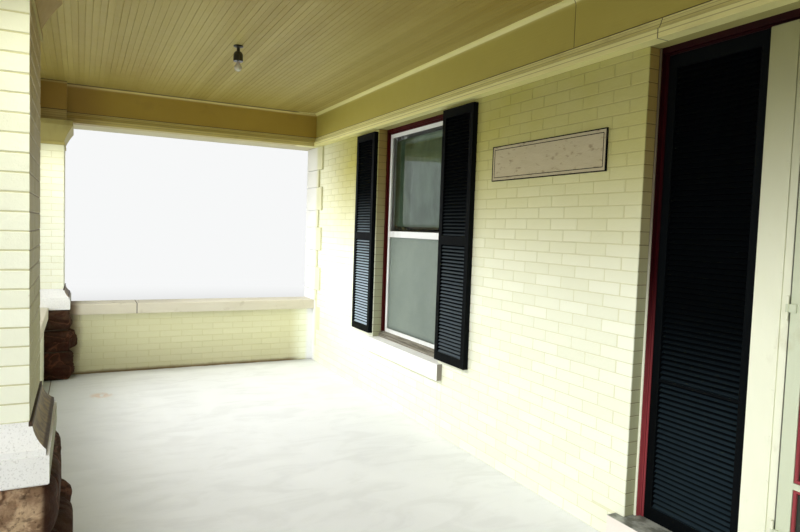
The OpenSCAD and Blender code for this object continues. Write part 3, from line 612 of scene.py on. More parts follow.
def red_paint():
    """Dark red gloss paint, painted pink low down as a highlight, nearly black under the beam as painted
    shade.
    """
    look = Look("red_paint", Specular_IOR_Level=0.15)
    # Painted highlight: pink low down; painted shade: nearly black higher up.
    highlight_red = look.mix(look.noise(7, 4, (1, 1, 0.4)), rgb(166, 80, 84), rgb(126, 44, 50))
    shaded = look.mix(look.noise(20, 3), rgb(44, 6, 10), rgb(26, 3, 6))
    tint = look.mix(look.height.ramp(FLOOR_Z + 0.5, FLOOR_Z + 1.5), highlight_red, shaded)
    # Painted shade in the casing's groove.
    tint = look.mix(look.across.line(CASING_GROOVE_X, 0.0028, 0.0014) * 0.75, tint, rgb(48, 4, 8))
    return look.finish(tint, look.noise(16, 3).span(0.35, 0.6), (look.noise(14, 3, (6, 6, 0.7)), 0.0007),
                       (look.noise(140, 2), 0.0004))


def frame_paint():
    """Dark red window trim above a bare grey wooden sill."""
    look = Look("frame_paint", Specular_IOR_Level=0.12)
    red = look.mix(look.noise(9, 4, (1, 1, 0.4)), rgb(74, 10, 12), rgb(42, 5, 7))
    grain = look.noise(5, 5, (0.6, 22, 22))
    grey = look.mix(grain.ramp(0.35, 0.65), rgb(150, 146, 132), rgb(88, 84, 74))
    upper = look.height.ramp(STORM_LOW.z - 0.001, STORM_LOW.z + 0.001)
    return look.finish(look.mix(upper, grey, red), look.noise(16, 3).span(0.35, 0.65), (grain, 0.0015),
                       (look.noise(120, 2), 0.0004))


def board_paint(name, light, dark):
    """Cream paint on boards and the door, with drips and rubbed edges; painted shade higher up, on the bead
    and in the door's gap.
    """
    look = Look(name)
    tint = look.mix(look.noise(2.5, 5, (1.5, 1.5, 0.5)), light, dark)
    scuff = look.noise(7, 6, (1, 1, 0.5), 3.0).ramp(0.58, 0.76)
    tint = look.mix(scuff * 0.4, tint, rgb(176, 170, 130))
    # Painted shade: darker olive higher up.
    tint = look.mix(look.height.ramp(FLOOR_Z + 1.1, SOFFIT_Z) * 0.9, tint, rgb(130, 128, 74))
    # Painted shade on the casing bead's upper part.
    bead = look.across.ramp(DOORWAY_HALF - 0.03, DOORWAY_HALF - 0.02)
    bead *= look.height.ramp(FLOOR_Z + 0.8, FLOOR_Z + 1.8)
    tint = look.mix(bead * 0.85, tint, rgb(62, 40, 26))
    # Painted shade in the door's gap.
    gap = look.across.line(DOOR_HIGH.x + 0.0015, 0.0045, 0.003)
    gap *= look.depth.ramp(DOOR_FACE_Y - 0.003, DOOR_FACE_Y - 0.001)
    tint = look.mix(gap * 0.9, tint, rgb(40, 40, 28))
    return look.finish(tint, look.noise(10, 3).span(0.35, 0.6), (look.noise(10, 4, (10, 10, 0.6)), 0.0009),
                       (look.noise(130, 2), 0.0004))


def white_metal():
    """White enamel with a little dirt."""
    look = Look("white_metal")
    dirt = look.noise(9, 5, (1, 1, 0.5)).ramp(0.5, 0.8)
    tint = look.mix(dirt * 0.4, rgb(232, 235, 234), rgb(180, 180, 172))
    return look.finish(tint, look.noise(12, 3).span(0.25, 0.5), (look.noise(60, 3), 0.0004))


def dark_glass(name, dark, light):
    """A pane painted with the dark of an unlit room behind it and mottled painted reflections."""
    look = Look(name, Specular_IOR_Level=0.4, IOR=1.5)
    # Painted reflections, mottled over the painted dark of the room.
    painted_reflection = look.noise(3.5, 4, (1, 1, 0.6), 2.0, 0.3).ramp(0.3, 0.7)
    return look.finish(look.mix(painted_reflection, dark, light), look.noise(5, 3).span(0.03, 0.1),
                       (look.noise(1.1, 2), 0.004))


def clear_glass():
    """A storm pane with faint smears."""
    look = Look("clear_glass", Transmission_Weight=1.0, IOR=1.3, Specular_IOR_Level=0.3)
    smear = look.noise(6, 4)
    tint = look.mix(smear, rgb(236, 244, 240), rgb(220, 232, 226))
    return look.finish(tint, smear.span(0.0, 0.04), (look.noise(1.3, 2), 0.003))


def screen_mesh():
    """Grey insect screen: threads both ways, with soft dusty patches."""
    look = Look("screen_mesh")
    def threads(axis):
        return look.math("SINE", look.axis(axis) * (2 * math.pi / THREAD_PITCH)).span(0.3, 1.0)
    weave = threads("X").most(threads("Z"))
    layer_tint = look.mix(look.noise(3.5, 5), rgb(146, 158, 148), rgb(116, 128, 122))
    tint = look.mix(weave * 0.35, layer_tint, rgb(86, 96, 92))
    return look.finish(tint, look.noise(8, 3).span(0.5, 0.7), (weave, 0.0004))


def brass():
    """Worn brass."""
    look = Look("brass", Metallic=1.0)
    tint = look.mix(look.noise(40, 4).ramp(0.4, 0.7), rgb(196, 154, 76), rgb(118, 86, 42))
    return look.finish(tint, look.noise(50, 3).span(0.22, 0.45), (look.noise(200, 2), 0.0003))


def black_glaze():
    """Black glazed lamp socket."""
    look = Look("black_glaze", Coat_Weight=0.5)
    tint = look.mix(look.noise(30, 3), rgb(22, 21, 20), rgb(40, 36, 32))
    return look.finish(tint, look.noise(40, 3).span(0.2, 0.4), (look.noise(120, 2), 0.0004))


def bulb_glass():
    """Frosted bulb."""
    look = Look("bulb_glass", Transmission_Weight=0.25, Subsurface_Weight=0.2, IOR=1.45)
    tint = look.mix(look.noise(24, 3), rgb(240, 238, 226), rgb(220, 216, 198))
    return look.finish(tint, look.noise(30, 2).span(0.08, 0.22), (look.noise(60, 2), 0.0002))


def shingle():
    """Grey-brown roof shingles with grit and a little algae, a tint for each tab."""
    look = Look("shingle")
    tint = look.mix(look.island(), rgb(112, 106, 98), rgb(84, 78, 72))
    grit = look.noise(420, 2)
    tint = look.mix(grit.ramp(0.42, 0.66) * 0.5, tint, rgb(54, 50, 46))
    algae = look.noise(1.2, 5, (1, 0.4, 1)).ramp(0.55, 0.8)
    tint = look.mix(algae * 0.45, tint, rgb(62, 62, 54))
    return look.finish(tint, look.noise(60, 2).span(0.8, 0.95), (grit, 0.0015))


def lead():
    """Dull grey lead sheet."""
    look = Look("lead")
    tint = look.mix(look.noise(8, 5), rgb(132, 134, 136), rgb(96, 98, 102))
    return look.finish(tint, look.noise(20, 3).span(0.45, 0.7), (look.noise(9, 4), 0.003))


def plaque_paint():
    """Bare plaque: rubbed pinkish-white paint that shows some wood."""
    look = Look("plaque_paint")
    tint = look.mix(look.noise(14, 5, (0.5, 1, 1.6)), rgb(188, 179, 148), rgb(168, 157, 124))
    rub = look.noise(26, 6, (0.7, 1, 1.6), 2.0).ramp(0.56, 0.7)
    tint = look.mix(rub * 0.6, tint, rgb(118, 100, 72))
    return look.finish(tint, look.noise(30, 3).span(0.5, 0.75), (look.noise(60, 4, (0.6, 1, 2)), 0.0015))


def door_stone():
    """Door sill: pinkish white with a foot-worn grey top."""
    look = Look("door_stone")
    face = look.mix(look.noise(6, 5), rgb(250, 246, 238), rgb(232, 222, 211))
    top = look.mix(look.noise(14, 6).ramp(0.38, 0.62), rgb(172, 176, 168), rgb(112, 116, 108))
    tint = look.mix(look.facing("Z").ramp(0.5, 0.9), face, top)
    return look.finish(tint, look.noise(14, 3).span(0.5, 0.8), (look.noise(40, 5), 0.003),
                       (look.noise(170, 3), 0.001))


def roof_deck():
    """Bare grey-brown deck boards under the shingles."""
    look = Look("roof_deck")
    tint = look.mix(look.noise(6, 4, (1, 6, 1)), rgb(96, 88, 78), rgb(70, 62, 54))
    return look.finish(tint, look.noise(20, 3).span(0.7, 0.9), (look.noise(12, 4, (1, 8, 1)), 0.002))


def finish_piece(name, shape, material, body=HOUSE, smooth=False):
    """Makes a mesh piece from (points, faces) in the frame's own coordinates; it rides on a body."""
    mesh = bpy.data.meshes.new(name)
    mesh.from_pydata(shape[0], [], shape[1])
    outward = bmesh.new()
    outward.from_mesh(mesh)
    bmesh.ops.recalc_face_normals(outward, faces=outward.faces)
    outward.to_mesh(mesh)
    outward.free()
    for polygon in mesh.polygons:
        polygon.use_smooth = smooth
    mesh.materials.append(material)
    piece = bpy.data.objects.new(name, mesh)
    bpy.context.scene.collection.objects.link(piece)
    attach(piece, body)
    return piece


def joined(shapes):
    """Several (points, faces) as one."""
    points, faces = [], []
    for shape_points, shape_faces in shapes:
        start = len(points)
        points += shape_points
        faces += [[start + i for i in face] for face in shape_faces]
    return points, faces


def bevel_template():
    """Signs and insets of a bevelled box's 24 points, and its faces."""
    corners = [(x, y, z) for x in (-1, 1) for y in (-1, 1) for z in (-1, 1)]
    signs, insets, index = [], [], {}
    for corner in corners:
        for kept in range(3):
            index[corner, kept] = len(signs)
            signs.append(corner)
            insets.append([0 if axis == kept else corner[axis] for axis in range(3)])
    faces = [[index[corner, kept] for kept in range(3)] for corner in corners]
    for kept in range(3):
        a, b = [axis for axis in range(3) if axis != kept]
        for side in (-1, 1):
            ring = []
            for sa, sb in ((-1, -1), (1, -1), (1, 1), (-1, 1)):
                corner = [0, 0, 0]
                corner[kept], corner[a], corner[b] = side, sa, sb
                ring.append(index[tuple(corner), kept])
            faces.append(ring)
    for run in range(3):
        a, b = [axis for axis in range(3) if axis != run]
        for sa in (-1, 1):
            for sb in (-1, 1):
                low, high = [0, 0, 0], [0, 0, 0]
                low[run], high[run] = -1, 1
                low[a] = high[a] = sa
                low[b] = high[b] = sb
                low, high = tuple(low), tuple(high)
                faces.append([index[low, a], index[high, a], index[high, b], index[low, b]])
    return np.array(signs, float), np.array(insets, float), faces


SIGNS, INSETS, BOX_FACES = bevel_template()


def boxes_mesh(boxes, bevel, shake, seed):
    """Points and faces of bevelled boxes, each (low, high), with their corners a little off."""
    chance = np.random.default_rng(seed)
    low = np.array([box[0] for box in boxes], float)[:, None, :]
    high = np.array([box[1] for box in boxes], float)[:, None, :]
    edge = np.minimum(bevel, (high - low) * 0.3)
    points = (low + high) / 2 + SIGNS * (high - low) / 2 - INSETS * edge
    corner_shake = chance.uniform(-shake, shake, (len(boxes), 8, 3))
    points = points + np.repeat(corner_shake, 3, axis=1)
    faces = [[24 * i + j for j in face] for i in range(len(boxes)) for face in BOX_FACES]
    return points.reshape(-1, 3).tolist(), faces


def mirrored(boxes):
    return [([-high[0], low[1], low[2]], [-low[0], high[1], high[2]]) for low, high in boxes]


def rim(low, high, front, back, out, lap, past=0.0, within=0.0):
    """Four bars round an upright (x, z) rectangle: two uprights, which may run past it, and two crossbars."""
    (x0, z0), (x1, z1) = low, high
    return [([x0 - out, front, z0 - past], [x0 + lap, back, z1 + past]),
            ([x1 - lap, front, z0 - past], [x1 + out, back, z1 + past]),
            ([x0 + within, front, z0 - out], [x1 - within, back, z0 + lap]),
            ([x0 + within, front, z1 - lap], [x1 - within, back, z1 + out])]


def brick(run, face, out, u0, u1, z0, z1):
    """A brick in a wall whose length runs along axis 0 or 1, from inside the wall to its proud face."""
    low, high = [0, 0, z0 + JOINT / 2], [0, 0, z1 - JOINT / 2]
    low[run], high[run] = u0 + JOINT / 2, u1 - JOINT / 2
    low[1 - run], high[1 - run] = sorted((face - out * BRICK_DEPTH, face + out * PROUD))
    return low, high


def rows(z0, z1, base=FLOOR_Z):
    """Courses between two heights: the count from the base, and the lowest and highest point."""
    first = math.floor((z0 - base) / COURSE + NEAR)
    last = math.ceil((z1 - base) / COURSE - NEAR)
    for n in range(first, last):
        low, high = max(z0, base + n * COURSE), min(z1, base + (n + 1) * COURSE)
        if high - low > SLIVER:
            yield n, low, high


def cut(u0, u1, anchor, n, closer=0.06):
    """Running bond between two ends: the bricks' starts and ends, with half a brick's shift each course."""
    shift = anchor + (BRICK_PITCH / 2 if n % 2 else 0)
    first = math.ceil((u0 + closer - shift) / BRICK_PITCH)
    last = math.floor((u1 - closer - shift) / BRICK_PITCH)
    stops = [u0] + [shift + k * BRICK_PITCH for k in range(first, last + 1)] + [u1]
    return list(zip(stops, stops[1:]))


def open_bands(openings, u0, u1, z0, z1):
    """Stretches of one course that no opening, each (u0, u1, z0, z1), takes, with their heights."""
    edges = sorted({u0, u1, *(min(max(o[i], u0), u1) for o in openings for i in (0, 1))})
    for a, b in zip(edges, edges[1:]):
        low, high = z0, z1
        for o in openings:
            if o[0] < b - NEAR and o[1] > a + NEAR:
                if o[2] <= low and o[3] >= high:
                    high = low
                elif o[2] <= low < o[3]:
                    low = o[3]
                elif low < o[2] < high:
                    high = o[2]
        if high - low > SLIVER and b - a > SLIVER:
            yield a, b, low, high


def lay(run, face, out, u0, u1, z0, z1, anchor, openings=(), base=FLOOR_Z, keep=None):
    """Bricks of one wall face, with joints left open between them."""
    laid = []
    for n, low, high in rows(z0, z1, base):
        for a, b, band_low, band_high in open_bands(openings, u0, u1, low, high):
            for start, stop in cut(a, b, anchor, n):
                if keep is None or keep((start + stop) / 2, band_high):
                    laid.append(brick(run, face, out, start, stop, band_low, band_high))
    return laid


def jamb(edge, side, z0, odd_first):
    """Bricks that turn the corner of an opening: long and short in turn, as deep as the reveal."""
    laid = []
    for n, low, high in rows(z0, SOFFIT_Z):
        length = BRICK_PITCH - JOINT if n % 2 == odd_first else HEADER
        far, near = edge - side * length, edge + side * PROUD
        laid.append(([min(far, near), WALL_Y - PROUD, low + JOINT / 2],
                     [max(far, near), WALL_Y + REVEAL, high - JOINT / 2]))
    return laid


def roof_height(x, y):
    """Top of the roof over a point of the plan."""
    return EAVE_Z + PITCH * min(y - ROOF_LOW.y, ROOF_HIGH.x - abs(x))


def wall_openings():
    """What the left house wall's bricks leave free: window, its sill and the quoins, as (x0, x1, z0, z1)."""
    taken = [(WINDOW_LOW.x, WINDOW_HIGH.x, SILL_HIGH.z - 0.001, SOFFIT_Z),
             (SILL_LOW.x, SILL_LOW.x + WINDOW_HIGH.x - WINDOW_LOW.x + SILL_EARS, SILL_LOW.z, SILL_HIGH.z)]
    for i in range(5):
        top = SOFFIT_Z - i * QUOIN_PITCH
        taken.append((-HOUSE_HALF, -HOUSE_HALF + QUOIN_LONG, top - QUOIN_TALL, top))
        taken.append((-HOUSE_HALF, -HOUSE_HALF + QUOIN_SHORT, top - QUOIN_PITCH, top - QUOIN_TALL))
    return taken


def side_wall_bricks():
    """Bricks of the house wall on the left: face, jambs, the end, and what shows over the roof."""
    jambs = jamb(-DOORWAY_HALF, 1, FLOOR_Z + DOOR_SILL_H, 0)
    jambs += jamb(WINDOW_LOW.x, 1, SILL_HIGH.z, 1) + jamb(WINDOW_HIGH.x, -1, SILL_HIGH.z, 1)
    def clear_of_jambs(middle, high):
        return not any(low[0] < middle < top[0] and low[2] < high - JOINT < top[2] + JOINT
                       for low, top in jambs)
    def over_roof(middle, high):
        return high > roof_height(middle, WALL_Y)
    anchor = -DOORWAY_HALF + JOINT / 2
    laid = lay(0, WALL_Y, -1, -HOUSE_HALF + BEHIND_QUOIN, -DOORWAY_HALF, FLOOR_Z, SOFFIT_Z, anchor,
               wall_openings(), keep=clear_of_jambs)
    laid += lay(0, WALL_Y, -1, -HOUSE_HALF, 0, EAVE_Z, WALL_TOP, anchor, keep=over_roof)
    quoin_foot = LOW_WALL_HIGH.z + COPING_H
    for z0, z1, y0 in ((0, quoin_foot, WALL_Y), (quoin_foot, SOFFIT_Z, WALL_Y + BEHIND_QUOIN_END),
                       (SOFFIT_Z, WALL_TOP, WALL_Y)):
        laid += lay(1, -HOUSE_HALF, -1, y0, WALL_HIGH.y, z0, z1, WALL_HIGH.y)
    return laid + jambs


def make_walls(paint):
    """Bricks of the house wall; the right-hand ones mirror the left-hand ones."""
    left = side_wall_bricks()
    for name, laid, seed in (("wall_bricks_left", left, 1), ("wall_bricks_right", mirrored(left), 2)):
        finish_piece(name, boxes_mesh(laid, BRICK_BEVEL, 0.0006, seed), paint)


def turned(u, v, quarter):
    """A plan point turned by quarters."""
    for _ in range(quarter):
        u, v = -v, u
    return u, v


def column_bricks(x, y):
    """Pinwheel bond on a square column: a brick round each corner and one between, turned each course."""
    laid = []
    half = COLUMN_HALF
    course = (SOFFIT_Z - CAPITAL_H - SHAFT_Z) / SHAFT_COURSES
    stretcher = (2 * half - HEADER - 2 * JOINT) / 2
    bricks = ((-half - PROUD, -half + stretcher, HEADER),
              (-half + stretcher + JOINT, half - HEADER - JOINT, BRICK_DEPTH))
    for n in range(SHAFT_COURSES):
        low = SHAFT_Z + n * course + JOINT / 2
        high = low + course - JOINT
        for side in range(4):
            for start, stop, depth in bricks:
                if n % 2:
                    start, stop = -stop, -start
                a, b = turned(start, -half - PROUD, side), turned(stop, -half + depth, side)
                laid.append(([x + min(a[0], b[0]), y + min(a[1], b[1]), low],
                             [x + max(a[0], b[0]), y + max(a[1], b[1]), high]))
    return laid


def make_columns(paint):
    """Bricks of the four columns."""
    for n in range(1, 5):
        centre = middle_of(f"column_{n}")
        bricks = boxes_mesh(column_bricks(centre.x, centre.y), BRICK_BEVEL, 0.0006, 10 + n)
        finish_piece(f"column_bricks_{n}", bricks, paint)


def make_low_walls(paint):
    """Both faces of each low wall, in running bond from the coping down."""
    x0, x1 = -CORNER_X + PEDESTAL_HALF, -ENTRY_X - PEDESTAL_HALF
    top = LOW_WALL_HIGH.z
    front, ends = [], []
    for out in (-1, 1):
        face, first = out * LOW_WALL_HALF, out * 0.05
        front += lay(0, ROW_Y + face, out, x0, x1, FLOOR_Z, top, x1 + first, base=top)
        ends += lay(1, -CORNER_X + face, out, PEDESTAL_BACK_Y, WALL_Y, FLOOR_Z, top, WALL_Y + first, base=top)
    for name, laid, seed in (("low_wall_bricks_front", front, 21), ("low_wall_bricks_ends", ends, 22)):
        bricks = boxes_mesh(laid + mirrored(laid), BRICK_BEVEL, 0.0008, seed)
        finish_piece(name, bricks, paint)


def grid_box(low, high, cell):
    """Points and quads of a box whose sides are divided into cells, welded along its edges."""
    counts = [max(2, round((high[i] - low[i]) / cell)) for i in range(3)]
    found, points, faces = {}, [], []
    def point(key):
        if key not in found:
            found[key] = len(points)
            points.append([2 * key[i] / counts[i] - 1 for i in range(3)])
        return found[key]
    for fixed in range(3):
        a, b = [axis for axis in range(3) if axis != fixed]
        for end in (0, counts[fixed]):
            for i in range(counts[a]):
                for j in range(counts[b]):
                    ring = []
                    for di, dj in ((0, 0), (1, 0), (1, 1), (0, 1)):
                        key = [0, 0, 0]
                        key[fixed], key[a], key[b] = end, i + di, j + dj
                        ring.append(point(tuple(key)))
                    faces.append(ring)
    return np.array(points), faces


def rough_stone(low, high, shown, swell, cell, seed, flat=None, house_side=1.0):
    """A stone with rough faces on the sides shown, each (axis, sign); its joints stay straight."""
    unit, faces = grid_box(low, high, cell)
    low, high = np.array(low), np.array(high)
    world = (low + high) / 2 + unit * (high - low) / 2
    bed = 1 - np.abs(unit[:, 2]) ** 6
    moved = world.copy()
    for axis, sign in shown:
        across = 1 - axis
        on_face = unit[:, axis] * sign > 0.999
        ends = np.ones(len(unit))
        for end in (-1, 1):
            straight = 0.8 if (across, end) in shown else 1.0
            ends *= 1 - straight * np.clip(unit[:, across] * end, 0, 1) ** 8
        places = [Vector(p) for p in world[on_face]]
        lumps = np.array([noise.fractal(p * 5 + Vector((seed, 0, 0)), 0.7, 2.1, 4) for p in places])
        facets = np.array([noise.voronoi(p * 5.5 + Vector((0, seed, 0)))[0][0] for p in places])
        push = 0.1 + 0.4 * noise.cell(Vector((seed, 7 * axis + sign, 0)))
        height = np.clip(push + 0.9 * lumps + 1.1 * facets, 0.05, 1.0)
        reach = swell * (house_side if (axis, sign) == (1, 1) else 1)
        amount = np.zeros(len(unit))
        amount[on_face] = height * reach * (bed * ends)[on_face]
        if flat is not None:
            amount *= 1 - flat(world)
        moved[:, axis] += sign * amount
    return moved.tolist(), faces


def pedestal_course(centre, z0, z1, n, course):
    """One course: a block with all four sides rough, flat where a low wall runs in."""
    corner = abs(centre.x) > ENTRY_X + PEDESTAL_HALF
    side = np.sign(-centre.x if corner else centre.x)
    def low_wall_end(world):
        x, y = world[:, 0] - centre.x, world[:, 1] - centre.y
        run_in = (np.abs(y) < LOW_WALL_HALF + 0.03) & (x * side > 0)
        if corner:
            run_in |= (np.abs(x) < LOW_WALL_HALF + 0.03) & (y > 0)
        return run_in.astype(float)
    half, gap = PEDESTAL_HALF, STONE_JOINT / 2
    sides = [(0, -1), (0, 1), (1, -1), (1, 1)]
    low, high = [centre.x - half, centre.y - half, z0 + gap], [centre.x + half, centre.y + half, z1 - gap]
    return rough_stone(low, high, sides, SWELL, 0.018, 7.3 * n + 3.1 * course, low_wall_end,
                       HOUSE_SIDE_SWELLS[course])


def make_pedestals(stone, filling):
    """Rough stones in courses on a core of mortar."""
    base, top = PEDESTAL_LOW.z, PEDESTAL_HIGH.z
    beds = [base + share * (top - base) for share in PEDESTAL_BEDS]
    core = PEDESTAL_HALF - 0.012
    for n in range(1, 5):
        centre = middle_of(f"column_{n}")
        courses = enumerate(zip(beds, beds[1:]))
        stones = joined([pedestal_course(centre, z0, z1, n, course) for course, (z0, z1) in courses])
        piece = finish_piece(f"pedestal_stones_{n}", stones, stone, smooth=True)
        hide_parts(f"pedestal_{n}")
        block = ([centre.x - core, centre.y - core, base], [centre.x + core, centre.y + core, top - 0.001])
        finish_piece(f"pedestal_core_{n}", boxes_mesh([block], 0.004, 0.0005, 40 + n), filling)


def make_foundation(stone):
    """One course of rough stones on the outer faces of the foundation."""
    column_xs = [middle_of(f"column_{n}").x for n in range(1, 5)]
    footing = PEDESTAL_HALF + FOOTING_OUT
    z1 = SLAB_LOW - 0.004
    chance = np.random.default_rng(5)
    stones = []
    def run_of(axis, face, sign, u0, u1):
        count = max(1, round((u1 - u0) / FOUNDATION_STONE))
        stops = np.linspace(u0, u1, count + 1)
        stops[1:-1] += chance.uniform(-0.06, 0.06, count - 1)
        for a, b in zip(stops, stops[1:]):
            low, high = [0, 0, 0.0], [0, 0, z1]
            low[1 - axis], high[1 - axis] = a + STONE_JOINT / 2, b - STONE_JOINT / 2
            low[axis], high[axis] = sorted((face - sign * FOUNDATION_DEPTH, face))
            stones.append(rough_stone(low, high, [(axis, sign)], 0.028, 0.024, a * 3.7 + face))
    for x in column_xs:
        run_of(1, ROW_Y - footing, -1, x - footing, x + footing)
        for sign in (-1, 1):
            outer = abs(x) > ENTRY_X + footing and sign == np.sign(x)
            side_end = ROW_Y + footing if outer else ROW_Y - FOUNDATION_HALF
            run_of(0, x + sign * footing, sign, ROW_Y - footing + FOUNDATION_DEPTH + 0.002, side_end)
    for a, b in zip(column_xs, column_xs[1:]):
        run_of(1, ROW_Y - FOUNDATION_HALF, -1, a + footing, b - footing)
    for sign in (-1, 1):
        run_of(0, sign * (CORNER_X + FOUNDATION_HALF), sign, ROW_Y + footing, WALL_Y)
    finish_piece("foundation_stones", joined(stones), stone, smooth=True)


def slope_place(slope, u, s, lift):
    """A point over the front slope, 0, or an end slope, -1 or 1: u along its eave and s in from it."""
    z = EAVE_Z + PITCH * s + lift
    if slope == 0:
        return [u, ROOF_LOW.y + s, z]
    return [slope * (ROOF_HIGH.x - s), u, z]


def slope_ends(slope, s):
    """Where a course ends, on the hips or at the wall."""
    if slope == 0:
        return -ROOF_HIGH.x + s, ROOF_HIGH.x - s
    return ROOF_LOW.y + s, WALL_Y


def shingle_row(slope, s0, s1, chance):
    """One course of tabs, cut along the hips."""
    tabs = []
    low, high = slope_ends(slope, s0)
    low1, high1 = slope_ends(slope, s1)
    start = low - TAB * chance.uniform(0.2, 0.8)
    while start < high:
        a, b = max(start, low), min(start + TAB - TAB_GAP, high)
        start += TAB
        a1, b1 = min(max(a, low1), high1 - 0.002), max(min(b, high1), low1 + 0.002)
        if b - a < 0.02 or b1 <= a1:
            continue
        butt = 0.006 + 0.003 * chance.random()
        outline = ((a, s0, butt), (b, s0, butt), (b1, s1, 0.002), (a1, s1, 0.002))
        points = [slope_place(slope, u, s, 0.0005) for u, s, _ in outline]
        points += [slope_place(slope, u, s, lift) for u, s, lift in outline]
        tabs.append((points, TAB_FACES))
    return tabs


def make_shingles(material):
    """Overlapping tabs on the three slopes, and folded ones over the hips."""
    chance = np.random.default_rng(9)
    tabs = []
    for slope in (0, -1, 1):
        for row in range(math.ceil(ROOF_RUN / EXPOSURE)):
            s1 = min((row + 1.15) * EXPOSURE, ROOF_RUN)
            tabs += shingle_row(slope, row * EXPOSURE + 0.002, s1, chance)
    finish_piece("shingles", joined(tabs), material)
    caps = []
    for side in (-1, 1):
        for k in range(math.floor(ROOF_RUN / EXPOSURE)):
            top = []
            for s, lift in ((max(0.012, k * EXPOSURE), 0.016), (min((k + 1.2) * EXPOSURE, ROOF_RUN), 0.009)):
                ridge = Vector((side * (ROOF_HIGH.x - s), ROOF_LOW.y + s, EAVE_Z + PITCH * s + lift))
                wing = min(HIP_WING, ROOF_RUN - s)
                outward = Vector((-side * HIP_WING, 0, -0.004))
                top += [ridge + outward, ridge, ridge + Vector((0, wing, -0.004))]
            caps.append(([list(p) for p in top] + [[p.x, p.y, p.z - 0.006] for p in top], HIP_FACES))
    finish_piece("hip_shingles", joined(caps), material)


def ribbon(path, profile):
    """A closed profile, given by offsets at each point of a path, as one swept solid."""
    points, faces = [], []
    count = len(profile)
    for place in path:
        points += [[place[i] + offset[i] for i in range(3)] for offset in profile]
    for k in range(len(path) - 1):
        for i in range(count):
            j = (i + 1) % count
            faces.append([k * count + i, k * count + j, (k + 1) * count + j, (k + 1) * count + i])
    faces.append(list(range(count)))
    faces.append([(len(path) - 1) * count + i for i in range(count)])
    return points, faces


def make_flashing(material):
    """Lead along the wall over the roof."""
    ridge = ROOF_HIGH.x - ROOF_RUN
    path = [(x, WALL_Y, roof_height(x, WALL_Y)) for x in (-HOUSE_HALF, -ridge, ridge, HOUSE_HALF)]
    profile = [(0, 0, 0.11), (0, -0.006, 0.112), (0, -0.008, 0.014), (0, -0.12, -0.018),
               (0, -0.12, -0.022), (0, 0, 0.006)]
    finish_piece("flashing", ribbon(path, profile), material)


def sheet(low, high, y, cell, bulge, seed):
    """An upright sheet between two (x, z) corners, facing -Y, with soft waves."""
    nx, nz = max(2, round((high[0] - low[0]) / cell)), max(2, round((high[1] - low[1]) / cell))
    points, faces = [], []
    for j in range(nz + 1):
        for i in range(nx + 1):
            u, v = i / nx, j / nz
            x, z = low[0] + u * (high[0] - low[0]), low[1] + v * (high[1] - low[1])
            wave = noise.noise(Vector((x * 1.7, seed, z * 1.7)))
            edge = 16 * u * (1 - u) * v * (1 - v)
            points.append([x, y + bulge * wave * edge, z])
    for j in range(nz):
        for i in range(nx):
            k = j * (nx + 1) + i
            faces.append([k, k + 1, k + nx + 2, k + nx + 1])
    return points, faces


def thick(points, faces, t):
    """The same sheet as a closed solid of a thickness."""
    back = [[p[0], p[1] + t, p[2]] for p in points]
    n = len(points)
    edges = {(a, b) for face in faces for a, b in zip(face, face[1:] + face[:1])}
    outline = [edge for face in faces for edge in zip(face, face[1:] + face[:1]) if edge[::-1] not in edges]
    rim_faces = [[a, b, b + n, a + n] for a, b in outline]
    return points + back, faces + [[i + n for i in reversed(f)] for f in faces] + rim_faces


def window_sheets(kind, panes, t, cell, bulge, material):
    """Sheets of the left window, each (low, high, y), with their mirror images in the right one."""
    shapes = []
    for low, high, y in panes:
        points, faces = thick(*sheet(low, high, y, cell, bulge, 3.0), t)
        shapes += [(points, faces), ([[-p[0], p[1], p[2]] for p in points], faces)]
    return finish_piece(f"window_{kind}_sheets", joined(shapes), material, smooth=True)


def make_windows(clear, dark, mesh_material, metal):
    """Panes and screens: clear storm panes, dark panes in the sashes behind, a screen on the lower half."""
    storm_y = (STORM_LOW.y + STORM_HIGH.y) / 2
    (x0, _, z0), (x1, _, z1) = STORM_LOW, STORM_HIGH
    storm = (x0 + STORM_EDGE, MEETING_HIGH), (x1 - STORM_EDGE, z1 - STORM_EDGE)
    screen = (x0 + STORM_EDGE, z0 + STORM_EDGE), (x1 - STORM_EDGE, MEETING_LOW)
    upper = (x0 + SASH_EDGE, MEETING_LOW + SASH_EDGE), (x1 - SASH_EDGE, z1 - SASH_EDGE)
    lower = (x0 + SASH_EDGE, z0 + SASH_EDGE), (x1 - SASH_EDGE, MEETING_HIGH - SASH_EDGE)
    window_sheets("storm", [(*storm, storm_y)], PANE_T, 0.08, 0.0008, clear)
    sashes = [(*upper, SASH_Y), (*lower, SASH_Y + SASH_PITCH)]
    panes = window_sheets("sash", sashes, PANE_T, 0.08, 0.0012, dark)
    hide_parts("window_glass")
    window_sheets("screen", [(*screen, storm_y - 0.004)], 0.001, 0.05, 0.006, mesh_material)
    beads = []
    for low, high in (storm, screen):
        beads += rim(low, high, STORM_LOW.y - 0.002, STORM_LOW.y + 0.006, 0.006, 0.003)
    finish_piece("storm_beads", boxes_mesh(beads + mirrored(beads), 0.002, 0.0001, 30), metal)


def make_door_glass(dark, red):
    """The door's two panes, and dark red beads round them."""
    middle = (PANE_LOW.y + PANE_HIGH.y) / 2 - PANE_T / 2
    front = DOOR_FACE_Y + 0.002
    panes, beads = [], []
    for z0, z1 in DOOR_LIGHTS:
        low, high = (PANE_LOW.x, z0), (PANE_HIGH.x, z1)
        panes.append(thick(*sheet(low, high, middle, 0.08, 0.0006, 8.0), PANE_T))
        beads += rim(low, high, front, front + 0.016, 0.009, 0.004, past=0.009)
    piece = finish_piece("door_panes", joined(panes), dark, DOOR, smooth=True)
    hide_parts("door_glass")
    finish_piece("glazing_beads", boxes_mesh(beads, 0.003, 0.0001, 31), red, DOOR)


